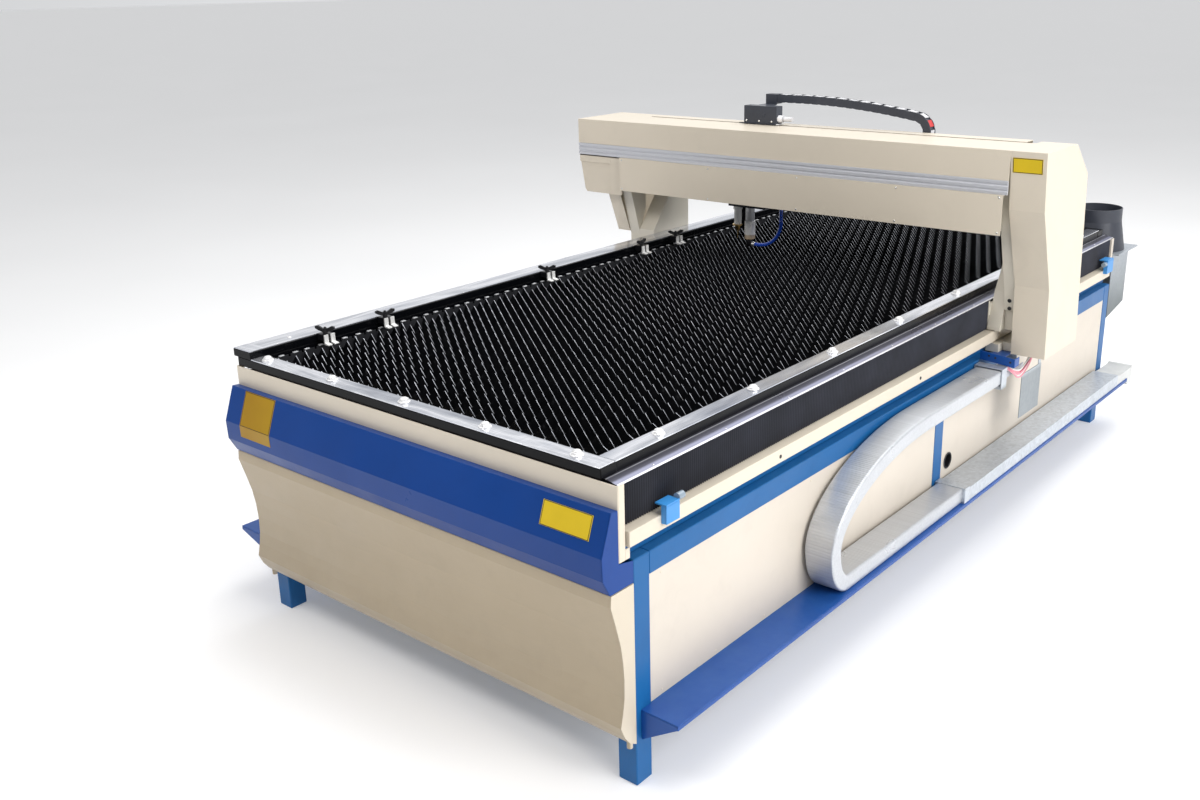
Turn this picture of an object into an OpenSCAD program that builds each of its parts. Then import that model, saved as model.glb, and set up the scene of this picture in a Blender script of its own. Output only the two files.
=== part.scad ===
// Flatbed laser cutting machine: tube-frame table with a toothed slat bed,
// moving gantry, cross carriage and lifting head. Lengths in millimetres.

/* [Table] */
// Width over the legs
table_w = 1558; // [1500:2:1620]
// Length over the legs
table_l = 3384; // [3300:2:3460]
// Square tube size
tube = 63; // [50:1:70]
// Height of the frame tops under the rails
frame_z = 650; // [645:1:652]
// Height of the upper side rails
rail_h = 64; // [56:1:70]
// Top of the lower side rails and of the shelves
shelf_z = 220; // [180:2:240]
// Width of the right shelf
shelf_w = 118; // [112:1:130]
// Width of the left shelf
shelf_w_left = 214; // [100:1:220]

/* [Bed] */
// Height of the slat tips
slat_tip_z = 882; // [874:1:884]
// Height of a slat from its bottom edge to its tips
slat_h = 48; // [40:1:50]
// Spacing of the slats along the table
slat_step = 50; // [44:1:60]
// Pitch of the teeth along a slat
tooth_pitch = 44; // [36:1:60]
// Depth of the teeth
tooth_d = 27; // [14:1:28]
// Thickness of a slat
slat_t = 2; // [1:0.5:3]

/* [Rails and bellows] */
// Pitch of the bellows folds
fold_pitch = 22; // [18:1:32]
// Depth of the bellows folds
fold_d = 19; // [12:1:20]

/* [Gantry] */
// Front of the gantry feet at rest, from the front of the table
gantry_y = 2084; // [1950:2:2120]
// Top of the beam
beam_top = 1415; // [1400:1:1440]
// Width of the right column cover
cover_w = 126; // [100:1:140]
// Sheet thickness of covers
sheet = 2.5; // [2:0.5:3]

/* [Carriage and head] */
// Carriage centre at rest, from the outside of the right legs
carriage_x = -1107.5; // [-1150:0.5:-1080]
// Radius of the carriage chain bend, outside
chain_r = 76; // [72:1:78]

/* [Cable conduit] */
// Width of the conduit
conduit_w = 98; // [80:1:100]
// Top of the conduit
conduit_top = 638; // [632:1:640]
// Length of the rising part of the conduit bend
conduit_a = 615; // [560:5:640]
// Thickness of the conduit
conduit_t = 54; // [44:1:58]

/* [Exhaust] */
// Outside radius of the duct collar
collar_r = 105; // [90:1:110]
// Height of the collar rim
collar_z = 962; // [940:1:980]

/* [Hidden] */
$fn = 48;
W = table_w;
L = table_l;
x_right = 74 + cover_w;
x_left = -1888;
y_front = -116;
y_rear = L + 300;
mid_x = (x_left + x_right) / 2;
mid_y = (y_front + y_rear) / 2;
up0 = frame_z - rail_h;
low0 = shelf_z - tube;
gap = 0.5;
ledge0 = 695;
ledge1 = 736;
foot_z = 658;
slat0 = slat_tip_z - slat_h;
slat_xl = -W + 88;
slat_xr = -112;
slat_n = floor((L - 100) / slat_step);
slat_y0 = 34;
tooth_n = floor((slat_xr - slat_xl) / tooth_pitch);
gy = gantry_y;
by = gy - 133;
arm0 = gy + 14;
arm1 = gy + 248;
bz = beam_top;
cxm = carriage_x;
chain_t = 34;
chain_x = -445;
chain_z = 1412;
chain_a = 80.6;
cond_x0 = 8;
cond_x1 = cond_x0 + conduit_w;
bend_y = 785;
bend_z = 370;
bend_a = 105;
bend_s = 144.4;
conn_y0 = gy - 141;
conn_y1 = gy - 98;

cream = [0.87, 0.84, 0.76];
blue = [0.07, 0.27, 0.62];
black = [0.08, 0.08, 0.09];
steel = [0.72, 0.72, 0.72];
yellow = [0.93, 0.75, 0.10];

module bx(x0, x1, y0, y1, z0, z1) { translate([x0, y0, z0]) cube([x1 - x0, y1 - y0, z1 - z0]); }
module px(p, x0, x1) { translate([x0, 0, 0]) rotate([90, 0, 90]) linear_extrude(height = x1 - x0) polygon(p); }
module py(p, y0, y1) { translate([0, y1, 0]) rotate([90, 0, 0]) linear_extrude(height = y1 - y0) polygon(p); }
module pz(p, z0, z1) { translate([0, 0, z0]) linear_extrude(height = z1 - z0) polygon(p); }
module cx(x0, x1, y, z, r) { translate([x0, y, z]) rotate([0, 90, 0]) cylinder(h = x1 - x0, r = r); }
module cy(x, y0, y1, z, r) { translate([x, y1, z]) rotate([90, 0, 0]) cylinder(h = y1 - y0, r = r); }
module cz(x, y, z0, z1, r) { translate([x, y, z0]) cylinder(h = z1 - z0, r = r); }
module both() { children(); translate([-W, 0, 0]) mirror([1, 0, 0]) children(); }
module place() { translate([-mid_x, -mid_y, 0]) children(); }

// ---- table frame -----------------------------------------------------------

module frame_posts() {
    color(blue) place() both() {
        bx(-tube, 0, 0, tube, 0, frame_z);
        bx(-tube, 0, L - tube, L, 0, frame_z);
        bx(-tube, 0, L / 2 - tube / 2, L / 2 + tube / 2, shelf_z, up0);
    }
}

module frame_rails() {
    color(blue) place() {
        both() {
            bx(-tube, 0, tube, L - tube, up0, frame_z);
            bx(-tube, 0, tube, L - tube, low0, shelf_z);
            bx(-75, -30, -20, L, frame_z + gap, ledge0);
        }
        for (y = [0, L - tube]) {
            bx(-W + tube, -tube, y, y + tube, up0, frame_z);
            bx(-W + tube, -tube, y, y + tube, low0, shelf_z);
        }
        for (i = [1:3]) bx(-W + tube + gap, -tube - gap, L * i / 4 - 25, L * i / 4 + 25, up0 + 10, frame_z);
        bx(-W + tube + gap, -tube - gap, L / 2 - 25, L / 2 + 25, low0 + 10, shelf_z);
    }
}

module infill_panels() {
    color(cream) place() {
        both() bx(-3.5, -2, tube, L / 2 - tube / 2, shelf_z, up0);
        translate([-W, 0, 0]) mirror([1, 0, 0]) bx(-3.5, -2, L / 2 + tube / 2, L - tube, shelf_z, up0);
        difference() {
            bx(-3.5, -2, L / 2 + tube / 2, L - tube, shelf_z, up0);
            cx(-6, 1, L / 2 + 87, shelf_z + 104, 28);
        }
        bx(-W + tube, -tube, L - 3.5, L - 2, shelf_z, up0);
        // bellows end plates on the rail ledges
        both() {
            bx(-50, -17, -29, -27, ledge1, 848);
            bx(-76, -14, L + 16, L + 19, ledge1, 848);
            bx(-17, -14, L + 19, L + 41, ledge1, 848);
        }
    }
}

module front_band() {
    color(cream) place() {
        bx(-W, 0, -54, -51.5, 662, 862);
        both() {
            bx(-2.5, 0, -51.5 + gap, -29, 662, 862);
            bx(-2.5, 0, -29 + gap, -12, 662, 690);
        }
        bx(-W + 101, -101, -51.5 + gap, tube - 5, frame_z, frame_z + 3.5);
    }
}

cover_up = [[-54, 801], [-78, 803], [-116, 697], [-114, 637], [-88, 590], [0, 590], [0, 649], [-54, 661]];
cover_up_in = [[-53, 798.5], [-76.3, 800.4], [-113.4, 697], [-111.6, 638], [-86.6, 592.5], [1, 592.5], [1, 670], [-53, 670]];
cover_lo = [[-85, 587], [-88, 557], [-71, 500], [-54, 437], [-46, 385], [-43, 338], [-44, 284], [-50, 247], [-60, 205],
            [-46, 172], [-25, 144], [0, 129], [0, 587]];
cover_lo_in = [[-82.6, 584.5], [-85.4, 557.4], [-68.6, 499.4], [-51.6, 436.5], [-43.6, 384.8], [-40.5, 338], [-41.5, 284.2],
               [-47.5, 247.6], [-57.2, 205.6], [-44, 173.6], [-24, 146.6], [1, 132], [1, 584.5]];

module front_cover_upper() {
    color(blue) place() {
        difference() {
            px(cover_up, -W + 2.5 + gap, -2.5 - gap);
            px(cover_up_in, -W, 0);
        }
        both() px(cover_up, -2.5, 0);
    }
}

module front_cover_lower() {
    color(cream) place() {
        difference() {
            px(cover_lo, -W + 2.5 + gap, -2.5 - gap);
            px(cover_lo_in, -W, 0);
        }
        both() px(cover_lo, -2.5, 0);
        both() difference() {
            cz(-11, -14, 122, 142, 8);
            px(cover_lo, -W, 0);
        }
    }
}

module label_plates() {
    color(yellow) place() {
        px([[-79.64, 801.3], [-117, 697.1], [-115.8, 660], [-115, 660], [-116.2, 697], [-78.9, 801]], -W + 77, -W + 231);
        px([[-85.1, 786.3], [-106.4, 726.8], [-105.6, 726.5], [-84.3, 786]], -210, -49);
    }
}

// ---- black table frame, fence and clamps ------------------------------------

module table_frame() {
    color(black) place() {
        bx(-W + 2, -56, -48, 12, 862, 890);
        bx(-118, -57, 12 + gap, L - 56, 862, 890);
        bx(-W + 2, -W + 71, 12 + gap, L - 56, 862, 890);
        bx(-W + 2, -56, L - 56 + gap, L + 6, 862, 890);
    }
}

module fence_bar() {
    color(black) place() bx(-W - 18, -W + 72, -48, L + 6, 890, 914);
}

module steel_strips() {
    color(steel) place() {
        bx(-W + 73, -59, -47, 8, 890, 893);
        bx(-110, -58, 8 + gap, L - 40, 890, 893);
        bx(-W - 17, -W + 68, -46, L + 4, 914, 916.5);
    }
}

module strip_bolt(x, y) {
    cz(x, y, 893, 896, 17);
    translate([x, y, 896]) cylinder(h = 10, r = 13, $fn = 6);
}

module strip_bolts() {
    color([0.80, 0.80, 0.79]) place() {
        for (i = [0:4]) strip_bolt(-W + 121 + 320 * i, -18);
        for (y = [213, 642, 1076, 1510, 1948, 2380, 2810, 3180]) strip_bolt(-86, y);
        cz(-W + 32, 126, 916.5, 919.5, 7);
        cz(-W + 32, L - 90, 916.5, 919.5, 7);
        // screws in the outer face of the ledge
        both() for (y = [640, 1496, 2700]) cx(10, 12, y, 714, 6);
    }
}

clamp_y = [224, 472, 1276, 1861, 2101];
clamp_x = -W + 90;

module clamp_bases() {
    color(black) place() for (y = clamp_y) {
        bx(-W + 72, -W + 108, y - 19, y + 19, 896, 914);
        bx(-W + 69, -W + 108, y - 19, y + 19, 914 + 0, 917.5);
    }
}

module clamp_prongs() {
    color([0.85, 0.85, 0.83]) place() for (y = clamp_y) for (d = [-13, 13])
        py([[-W + 108.3, 917], [-W + 112, 917], [-W + 113, 891], [-W + 130, 888], [-W + 130, 885], [-W + 108.3, 886]], y + d - 8, y + d + 8);
}

module clamp_knob(i, a) {
    color(black) place() translate([clamp_x, clamp_y[i], 0]) rotate([0, 0, a]) {
        cylinder_at(917.9, 934, 8);
        py([[-7, 921], [-7, 933], [-24, 942], [-34, 940], [-34, 933], [-26, 928]], -4, 4);
        py([[7, 921], [26, 928], [34, 933], [34, 940], [24, 942], [7, 933]], -4, 4);
        cylinder_at(934, 938, 4);
    }
}
module cylinder_at(z0, z1, r) { translate([0, 0, z0]) cylinder(h = z1 - z0, r = r); }

module clamp_knob_1() { clamp_knob(0, 25); }
module clamp_knob_2() { clamp_knob(1, 70); }
module clamp_knob_3() { clamp_knob(2, 40); }
module clamp_knob_4() { clamp_knob(3, 100); }
module clamp_knob_5() { clamp_knob(4, 60); }

// ---- slat bed ----------------------------------------------------------------

function slat_pts(shift) = concat(
    [[slat_xr, slat0], [slat_xr, slat_tip_z - tooth_d]],
    [for (i = [tooth_n - 1 : -1 : 0]) for (k = [1, 0])
        [slat_xl + (i + (k == 1 ? 0.75 : 0.25) + shift * 0) * tooth_pitch + (shift > 0 ? tooth_pitch * 0.0 : 0),
         k == 1 ? (shift > 0 ? slat_tip_z : slat_tip_z - tooth_d) : (shift > 0 ? slat_tip_z - tooth_d : slat_tip_z)]],
    [[slat_xl, slat_tip_z - tooth_d], [slat_xl, slat0]]);

module slat_set(first) {
    place() for (i = [first : 2 : slat_n - 1])
        py(slat_pts(first), slat_y0 + i * slat_step - slat_t / 2, slat_y0 + i * slat_step + slat_t / 2);
}
module slats_odd() { color([0.36, 0.36, 0.37]) slat_set(0); }
module slats_even() { color([0.42, 0.42, 0.43]) slat_set(1); }

function comb_pts(top) = concat(
    [[14, slat0 - 8], [14, top]],
    [for (i = [0 : slat_n - 1]) for (k = [0 : 3])
        [slat_y0 + i * slat_step + (k < 2 ? -4 : 4), (k == 0 || k == 3) ? top : top - 8]],
    [[L - 58, top], [L - 58, slat0 - 8]]);

module slat_combs() {
    color(steel) place() {
        px(comb_pts(slat_tip_z - 2), slat_xl - 5, slat_xl - 0.3);
        px(comb_pts(861), slat_xr + 0.3, slat_xr + 5);
        bx(slat_xl + 0.2, slat_xl + 22, 14, L - 58, slat0 - 8, slat0);
        bx(slat_xr - 22, slat_xr - 0.2, 14, L - 58, slat0 - 8, slat0);
    }
}

module bed_tray() {
    color([0.20, 0.20, 0.21]) place() {
        bx(-W + 83.2, -100.5, tube + 4, L - tube - 4, frame_z, frame_z + 3);
        bx(-W + 83.2, -100.5, tube, tube + 3, frame_z + gap, 825);
        bx(-W + 83.2, -100.5, L - tube - 3, L - tube, frame_z + gap, 825);
    }
}

module bed_walls() {
    color([0.13, 0.13, 0.15]) place() {
        bx(-100, -80, 12, L - 12, frame_z, 862);
        bx(-W + 80.4, -W + 82.7, 12, L - 12, frame_z, 862);
    }
}

// ---- rails -------------------------------------------------------------------

module rail_ledges() {
    color(cream) place() both() {
        bx(-75, -14, -29, -24, ledge0, ledge1);
        bx(-75, 10, -24, L - 46, ledge0, ledge1);
        bx(-75, -14, L - 46, L + 19, ledge0, ledge1);
    }
}
module linear_rails() { color([0.62, 0.63, 0.65]) place() both() bx(-72, -52, -24, L + 12, ledge1, ledge1 + 18); }
module rail_covers() {
    color(steel) place() both()
        py([[-80, 860], [-57, 859], [-19, 851], [-19, 849], [-57, 857], [-80, 858]], -29, L + 41);
}

function fold_pts(y0, y1) = let (n = ceil((y1 - y0) / fold_pitch), s = (y1 - y0) / n) concat(
    [for (i = [0 : 2 * n]) [i % 2 == 0 ? -20.7 - fold_d : -20.7, y0 + i * s / 2]],
    [for (i = [2 * n : -1 : 0]) [i % 2 == 0 ? -19.5 - fold_d : -19.5, y0 + i * s / 2]]);

module bellows_front() {
    color([0.15, 0.17, 0.21]) place() both() pz(fold_pts(-26.6, arm0 - 6.4), ledge1 + 1, 847);
}
module bellows_rear() {
    color([0.15, 0.17, 0.21]) place() both() pz(fold_pts(arm1 + 6.4, L + 15.6), ledge1 + 1, 847);
}

module shelf(w) {
    bx(0, w, 20, L + 16, shelf_z - 3, shelf_z);
    bx(w - 3, w, 20, L + 16, shelf_z - 15, shelf_z - 3 - gap);
    for (y = [20, L / 4, L / 2, L * 3 / 4, L - 40])
        py([[0, shelf_z - 86], [5, shelf_z - 86], [w - 3 - gap, shelf_z - 15], [w - 3 - gap, shelf_z - 3 - gap], [0, shelf_z - 3 - gap]], y, y + 3);
}
module shelves() {
    color(blue) place() {
        shelf(shelf_w);
        translate([-W, 0, 0]) mirror([1, 0, 0]) shelf(shelf_w_left);
    }
}

// ---- cable conduit and duct ----------------------------------------------------

function arc(cy0, cz0, r, a0, a1, n) = [for (i = [0 : n]) let (a = a0 + (a1 - a0) * i / n) [cy0 + r * cos(a), cz0 + r * sin(a)]];
// the bend is two quarter ellipses that meet at its front, offset inwards by the thickness
function ell(cy0, cz0, ea, eb, t, a) = let (n = sqrt(pow(cos(a) / ea, 2) + pow(sin(a) / eb, 2)))
    [cy0 + ea * cos(a) - t * cos(a) / ea / n, cz0 + eb * sin(a) - t * sin(a) / eb / n];
function bend_low(t, a0, a1, n) = [for (i = [0 : n]) ell(bend_y + bend_a, bend_z, bend_a, bend_z - shelf_z - 0.3, t, a0 + (a1 - a0) * i / n)];
function bend_up(t, a0, a1, n) = [for (i = [0 : n]) ell(bend_y + conduit_a, bend_z, conduit_a, conduit_top - bend_z, t, a0 + (a1 - a0) * i / n)];

module conduit_lower() {
    color(steel) place() bx(cond_x0, cond_x1, bend_y + bend_a + 0.3, L / 2 - 12, shelf_z + 0.3, shelf_z + 0.3 + conduit_t);
}
module conduit_loop() {
    color(steel) place() px(concat(
        bend_low(0, 270, 181, 24), bend_up(0, 180, bend_s, 24),
        bend_up(conduit_t, bend_s, 180, 24), bend_low(conduit_t, 181, 270, 24)), cond_x0, cond_x1);
}
module conduit_upper() {
    color(steel) place() px(concat(
        bend_up(0, bend_s - 0.08, 90, 30), [[conn_y0 - 0.6, conduit_top], [conn_y0 - 0.6, conduit_top - conduit_t]],
        bend_up(conduit_t, 90, bend_s - 0.08, 30)), cond_x0, cond_x1);
}
module rear_duct() {
    color([0.70, 0.71, 0.72]) place() {
        bx(5, 115, L / 2 + 28, L - 114, shelf_z, shelf_z + 50);
        bx(2, 116, L / 2 - 11.7, L / 2 + 27.5, shelf_z, shelf_z + 57);
    }
}
module duct_fitting() {
    color([0.80, 0.81, 0.80]) place() difference() {
        px([[L - 113.6, shelf_z], [L - 113.6, shelf_z + 44], [L - 60, shelf_z + 40], [L + 70, shelf_z + 39], [L + 82, shelf_z + 46],
            [L + 82, shelf_z - 40], [L + 70, shelf_z - 34], [L + 30, shelf_z - 33], [L + 17, shelf_z - 12], [L + 17, shelf_z]], 8, 114);
        px([[L - 80, shelf_z + 4], [L - 80, shelf_z + 37], [L + 90, shelf_z + 35], [L + 90, shelf_z - 29], [L + 34, shelf_z - 29],
            [L + 22, shelf_z - 8], [L + 22, shelf_z + 4]], 12, 110);
    }
}

// ---- stops ---------------------------------------------------------------------

module stop_box(y0, y1, z0, z1) {
    bx(24, 27, y0, y1, z0, z1 - 4 - gap);
    bx(10, 24 - gap, y0, y0 + 3, z0, z1 - 4 - gap);
    bx(10, 24 - gap, y1 - 3, y1, z0, z1 - 4 - gap);
    bx(-10, 27, y0, y1, z1 - 4, z1);
}
module limit_stops() {
    color([0.12, 0.50, 0.82]) place() {
        stop_box(98, 152, 714, 766);
        stop_box(L - 140, L - 66, 724, 784);
    }
}
module limit_dampers() {
    color([0.30, 0.31, 0.32]) place() {
        cy(17, 152.3, 176, 768, 10);
        cy(17, L - 166, L - 140.3, 768, 10);
    }
}

// ---- exhaust ---------------------------------------------------------------------

hx = -131;
hy = L + 146;

module exhaust_hood() {
    color([0.66, 0.67, 0.68]) place() {
        difference() {
            px([[L + 46, 478], [L + 258, 515], [L + 258, 770], [L + 46, 770]], hx - 118, hx + 118);
            px([[L + 40, 482], [L + 255, 518], [L + 255, 771], [L + 40, 771]], hx - 115, hx + 115);
        }
        difference() {
            bx(hx - 145, hx + 145, L + 42, y_rear, 770, 776);
            cz(hx, hy, 760, 790, 92);
        }
        // mounting straps to the rear of the frame
        bx(hx - 90, hx - 60, L, L + 46, 600, 640);
        bx(hx + 30, hx + 60, L, L + 46, 600, 640);
    }
}
module exhaust_collar() {
    color([0.10, 0.10, 0.11]) place() difference() {
        union() {
            translate([hx, hy, 776]) cylinder(h = 129, r1 = 128, r2 = collar_r);
            cz(hx, hy, 905, collar_z, collar_r);
        }
        translate([hx, hy, 775]) cylinder(h = 130, r1 = 123, r2 = collar_r - 4);
        cz(hx, hy, 904.5, collar_z + 1, collar_r - 4);
    }
}

// ---- gantry ----------------------------------------------------------------------

cover_front = [[by, bz], [by + 20, bz - 205], [gy - 4, 920], [gy + 12, foot_z]];
lean = [[gy + 0.4, foot_z + 0.6], [gy + 0.4, 750], [gy + 47, 877], [gy + 90, 946], [gy + 156, 1121], [gy + 256, 1121], [gy + 256, foot_z + 0.6]];
lean_left = [[gy + 0.4, foot_z + 0.6], [gy + 0.4, 929], [gy + 154, 1121], [gy + 256, 1121], [gy + 256, foot_z + 0.6]];
core_right = [[gy + 40, foot_z + 0.6], [gy + 40, 815], [gy + 24, 817], [gy + 8, 904], [by + 76, 1106], [by + 56, 1209], [by + 44, bz - 12],
    [by + 210, bz - 12], [by + 290, bz - 72], [by + 290, foot_z + 0.6]];
core_left = [[gy + 4, foot_z + 0.6], [gy + 4, 906], [by + 79, 1098], [by + 56, 1209], [by + 44, bz - 12], [by + 210, bz - 12], [by + 290, bz - 72],
    [by + 290, 1126], [gy + 46, 1126], [gy + 46, 1015], [gy + 12, 941], [gy + 256, 941], [gy + 256, foot_z + 0.6]];

module slot_cut() {
    bx(-30, 62, gy - 60, gy + 400, ledge0 - 5, ledge1 + 3);
}

module column_bodies() {
    color([0.90, 0.88, 0.83]) place() {
        difference() {
            union() {
                px(lean, -18, 30.7);
                bx(-50, -18, arm0, arm1, 790, 838);
            }
            slot_cut();
        }
        difference() {
            px(core_right, 31, 73.6);
            slot_cut();
        }
        // plates that hold the bellows
        bx(-50, -19, arm0 - 6, arm0, ledge1 + 4, 845);
        bx(-50, -19, arm1, arm1 + 6, ledge1 + 4, 845);
        bx(-77, -50, arm0, arm1, 790, 838);

        translate([-W, 0, 0]) mirror([1, 0, 0]) {
            px(lean_left, 19.3, 99);
            px(core_left, 99.3, 152);
            bx(-50, 19.3, arm0, arm1, 790, 838);
            bx(-50, -19, arm0 - 6, arm0, ledge1 + 4, 845);
            bx(-50, -19, arm1, arm1 + 6, ledge1 + 4, 845);
            bx(-77, -50, arm0, arm1, 790, 838);
        }
    }
}

module column_covers() {
    color(cream) place() {
        // right cover, open towards the table
        difference() {
            px(concat(cover_front, [[gy + 322, foot_z], [gy + 274, bz - 119], [gy + 143, bz]]), 74, x_right);
            px([[by + sheet, bz - sheet], [by + 20 + sheet, bz - 205], [gy - 4 + sheet, 920], [gy + 12 + sheet, foot_z - 1],
                [gy + 322 - sheet, foot_z - 1], [gy + 274 - sheet, bz - 120], [gy + 142, bz - sheet]], 73, x_right - sheet);
        }
        // left cover, short, open towards the column
        difference() {
            px([[by + 62, bz - 317.3], [gy - 4, 920], [gy - 4, 915], [gy + 318, 915], [gy + 313, bz - 317.3]], -W - 220, -W - 152.3);
            px([[by + 65, bz - 315], [gy - 1.2, 921], [gy - 1.2, 917.5], [gy + 315.4, 917.5], [gy + 310.4, bz - 315]], -W - 217.5, -W - 151);
        }
        // box outside the left column, with a lip along its top
        difference() {
            py([[x_left, bz - 157.5], [x_left + 26, bz - 303], [x_left + 36, bz - 317], [-W - 152.3, bz - 317], [-W - 152.3, bz - 157.5]], by + 6, gy + 168);
            py([[x_left + 2.6, bz - 153], [x_left + 28.4, bz - 302], [x_left + 37.2, bz - 314.5], [-W - 150, bz - 314.5], [-W - 150, bz - 153]], by + 8.5, gy + 165.5);
        }
        bx(x_left + 4, -W - 152.4, by + 1.2, by + 5.8, bz - 185, bz - 157.7);
        bx(-W - 151.9, -W - 90.5, by + 1.2, by + 5.8, bz - 316.6, bz - 157.7);
    }
}

module column_plate() {
    color(yellow) place() px([[by + 1, bz - 22.5], [by + 1.95, bz - 22.5], [by + 6.95, bz - 74], [by + 6, bz - 74]], 82, 186);
}

module guide_blocks() {
    color([0.30, 0.31, 0.33]) place() both() for (y = [gy + 24, gy + 168]) difference() {
        bx(-77, -51.0, y, y + 70, 743, 789.9);
        bx(-72.4, -40, y - 1, y + 71, 735, ledge1 + 18.4);
    }
}

module beam_core() { color([0.80, 0.80, 0.78]) place() bx(-W - 99, 30.7, by + 24, by + 179, bz - 285, bz - 10); }

module beam_cover() {
    color(cream) place() {
        // front and top
        px([[by, bz - 103], [by, bz], [by + 217.5, bz], [by + 217.5, bz - sheet], [by + sheet, bz - sheet], [by + sheet, bz - 103]], x_left + sheet, 73.7);
        // top and rear
        px([[by + 237.5, bz], [by + 301, bz], [by + 301, bz - 285], [by + 301 - sheet, bz - 285], [by + 301 - sheet, bz - sheet], [by + 237.5, bz - sheet]], -W - 99, 30.7);
        // left end
        px([[by + 3.4, bz - 157], [by + 3.4, bz - 103], [by, bz - 103], [by, bz], [by + 301, bz], [by + 301, bz - 157]], x_left, x_left + sheet);
        bx(x_left + sheet, -W - 99.3, by + 218, by + 301, bz - sheet, bz);
        bx(x_left + sheet, -W - 99.3, by + 301 - sheet, by + 301, bz - 157, bz - sheet);
    }
}

module groove_strip() {
    color([0.78, 0.79, 0.80]) place()
        px([[by + 3, bz - 152], [by - 4, bz - 152], [by - 4, bz - 141], [by - 1, bz - 139], [by - 1, bz - 135], [by - 4, bz - 133],
            [by - 4, bz - 122], [by - 1, bz - 120], [by - 1, bz - 116], [by - 4, bz - 114], [by - 4, bz - 103.3], [by + 3, bz - 103.3]],
           x_left + sheet + 0.3, 73.7);
}

module beam_fascia() {
    color(cream) place() {
        difference() {
            px([[by - 11, bz - 293], [by - 8.5, bz - 293], [by - 8.5, bz - 155], [by + 3, bz - 155], [by + 3, bz - 152.4], [by - 11, bz - 152.4]], -W - 90, 62);
            difference() {
                bx(-W - 91, -W - 82, by - 20, by - 1, bz - 294, bz - 285);
                cy(-W - 82, by - 20, by - 1, bz - 285, 8);
            }
        }
        bx(-W - 82, 30.5, by - 8.5 + gap, by + 199, bz - 293, bz - 290.5);
    }
}

module beam_rails() {
    color([0.62, 0.63, 0.65]) place() for (z = [bz - 243, bz - 93]) bx(-W - 96, 30, by + 179, by + 191, z, z + 16);
}

module foot_plate() {
    color(blue) place() {
        py([[4, 654], [4, 687], [134, 675], [134, 642], [112, 644.6]], conn_y1 + 1, conn_y1 + 4);
        py([[131, 643], [134, 642.6], [134, 675], [131, 675.3]], conn_y1 + 4 + gap, conn_y1 + 44);
        bx(14, 70, conn_y1 + 4 + gap, gy + 49.5, 655, 658.3);
    }
}

module cable_plates() {
    color([0.62, 0.63, 0.64]) place() {
        // collar round the conduit end
        difference() {
            bx(4, 110, conn_y0, conn_y1 + 0.6, 568, 643.5);
            bx(8, 106, conn_y0 - 1, conn_y0 + 14, 580, 641);
        }
        // tray under the foot and its hanger
        bx(20, 106, conn_y1 + 1, gy + 60, 600, 603);
        bx(103.4, 106, conn_y1 + 1, gy + 60, 603 + gap, 621);
        bx(30, 83.4, gy + 50, gy + 53, 603 + gap, foot_z);
        // hanging plate
        bx(109, 112, gy + 44, gy + 229, 405, 577);
        bx(109, 112, gy + 200, gy + 222, 577 + gap, foot_z - 0.2);
        // chain tray behind the beam
        px([[by + 301.3, bz - 105], [by + 304, bz - 105], [by + 304, bz - 82], [by + 357, bz - 82], [by + 357, bz - 65], [by + 354, bz - 65],
            [by + 354, bz - 79.4], [by + 301.3, bz - 79.4]], -1300, -20);
    }
}

module signal_cables() {
    color([0.80, 0.62, 0.66]) place() {
        for (x = [84, 91, 98])
            px([[conn_y1 + 6, 611], [gy - 24, 632], [gy + 40, 621], [gy + 130, 581], [gy + 130, 574],
                [gy + 40, 614], [gy - 24, 625], [conn_y1 + 6, 604]], x, x + 5);
        bx(104, 108.6, gy + 60, gy + 220, 420, 560);
    }
}

// ---- carriage ----------------------------------------------------------------------

module carriage_plate() {
    color([0.50, 0.51, 0.53]) place() {
        bx(cxm - 79, cxm + 79, by + 220, by + 235, 1136, 1418);
        for (z = [bz - 243, bz - 93]) for (s = [-72, 12]) difference() {
            bx(cxm + s, cxm + s + 60, by + 183, by + 220, z - 12, z + 28);
            bx(cxm + s - 1, cxm + s + 61, by + 182, by + 191.4, z - 0.4, z + 16.4);
        }
        bx(cxm + 79, cxm + 136, by + 224, by + 246, 1140, 1152);
    }
}

module carriage_box() {
    color(black) place() {
        bx(cxm - 49, cxm + 117, by + 202, by + 256, 1418, 1421);
        bx(cxm - 44.5, cxm + 112.5, by + 206, by + 250, 1421, 1490);
        bx(cxm - 5, cxm + 49, by + 250, by + 307, 1485, 1490);
        bx(cxm - 5, cxm + 49, by + 307, by + 349, 1490, 1529);
        for (x = [-31.5, 29.5, 90.5]) cy(cxm + x, by + 204, by + 206, 1430, 4);
        cx(cxm + 112.5, cxm + 134, by + 224, 1441, 14);
        cx(cxm + 134, cxm + 178, by + 224, 1441, 9);
        cx(cxm + 112.5, cxm + 150, by + 246, 1441, 7);
    }
}

chain_y0 = by + 307;
chain_y1 = by + 351;
chain_xs = cxm + 151.5;
chain_end = chain_x + chain_r * cos(chain_a);
chain_ztop = chain_z + chain_r * sin(chain_a) + 0.000157 * pow(chain_end - chain_xs, 2);
chain_up_x0 = cxm + 49.5;
function chain_line(x) = chain_ztop - 0.000157 * pow(max(x - chain_xs, 0), 2);
function chain_slope(x) = -0.000314 * max(x - chain_xs, 0);
function chain_x_at(i) = chain_up_x0 + (chain_end - 0.3 - chain_up_x0) * i / 24;

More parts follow.
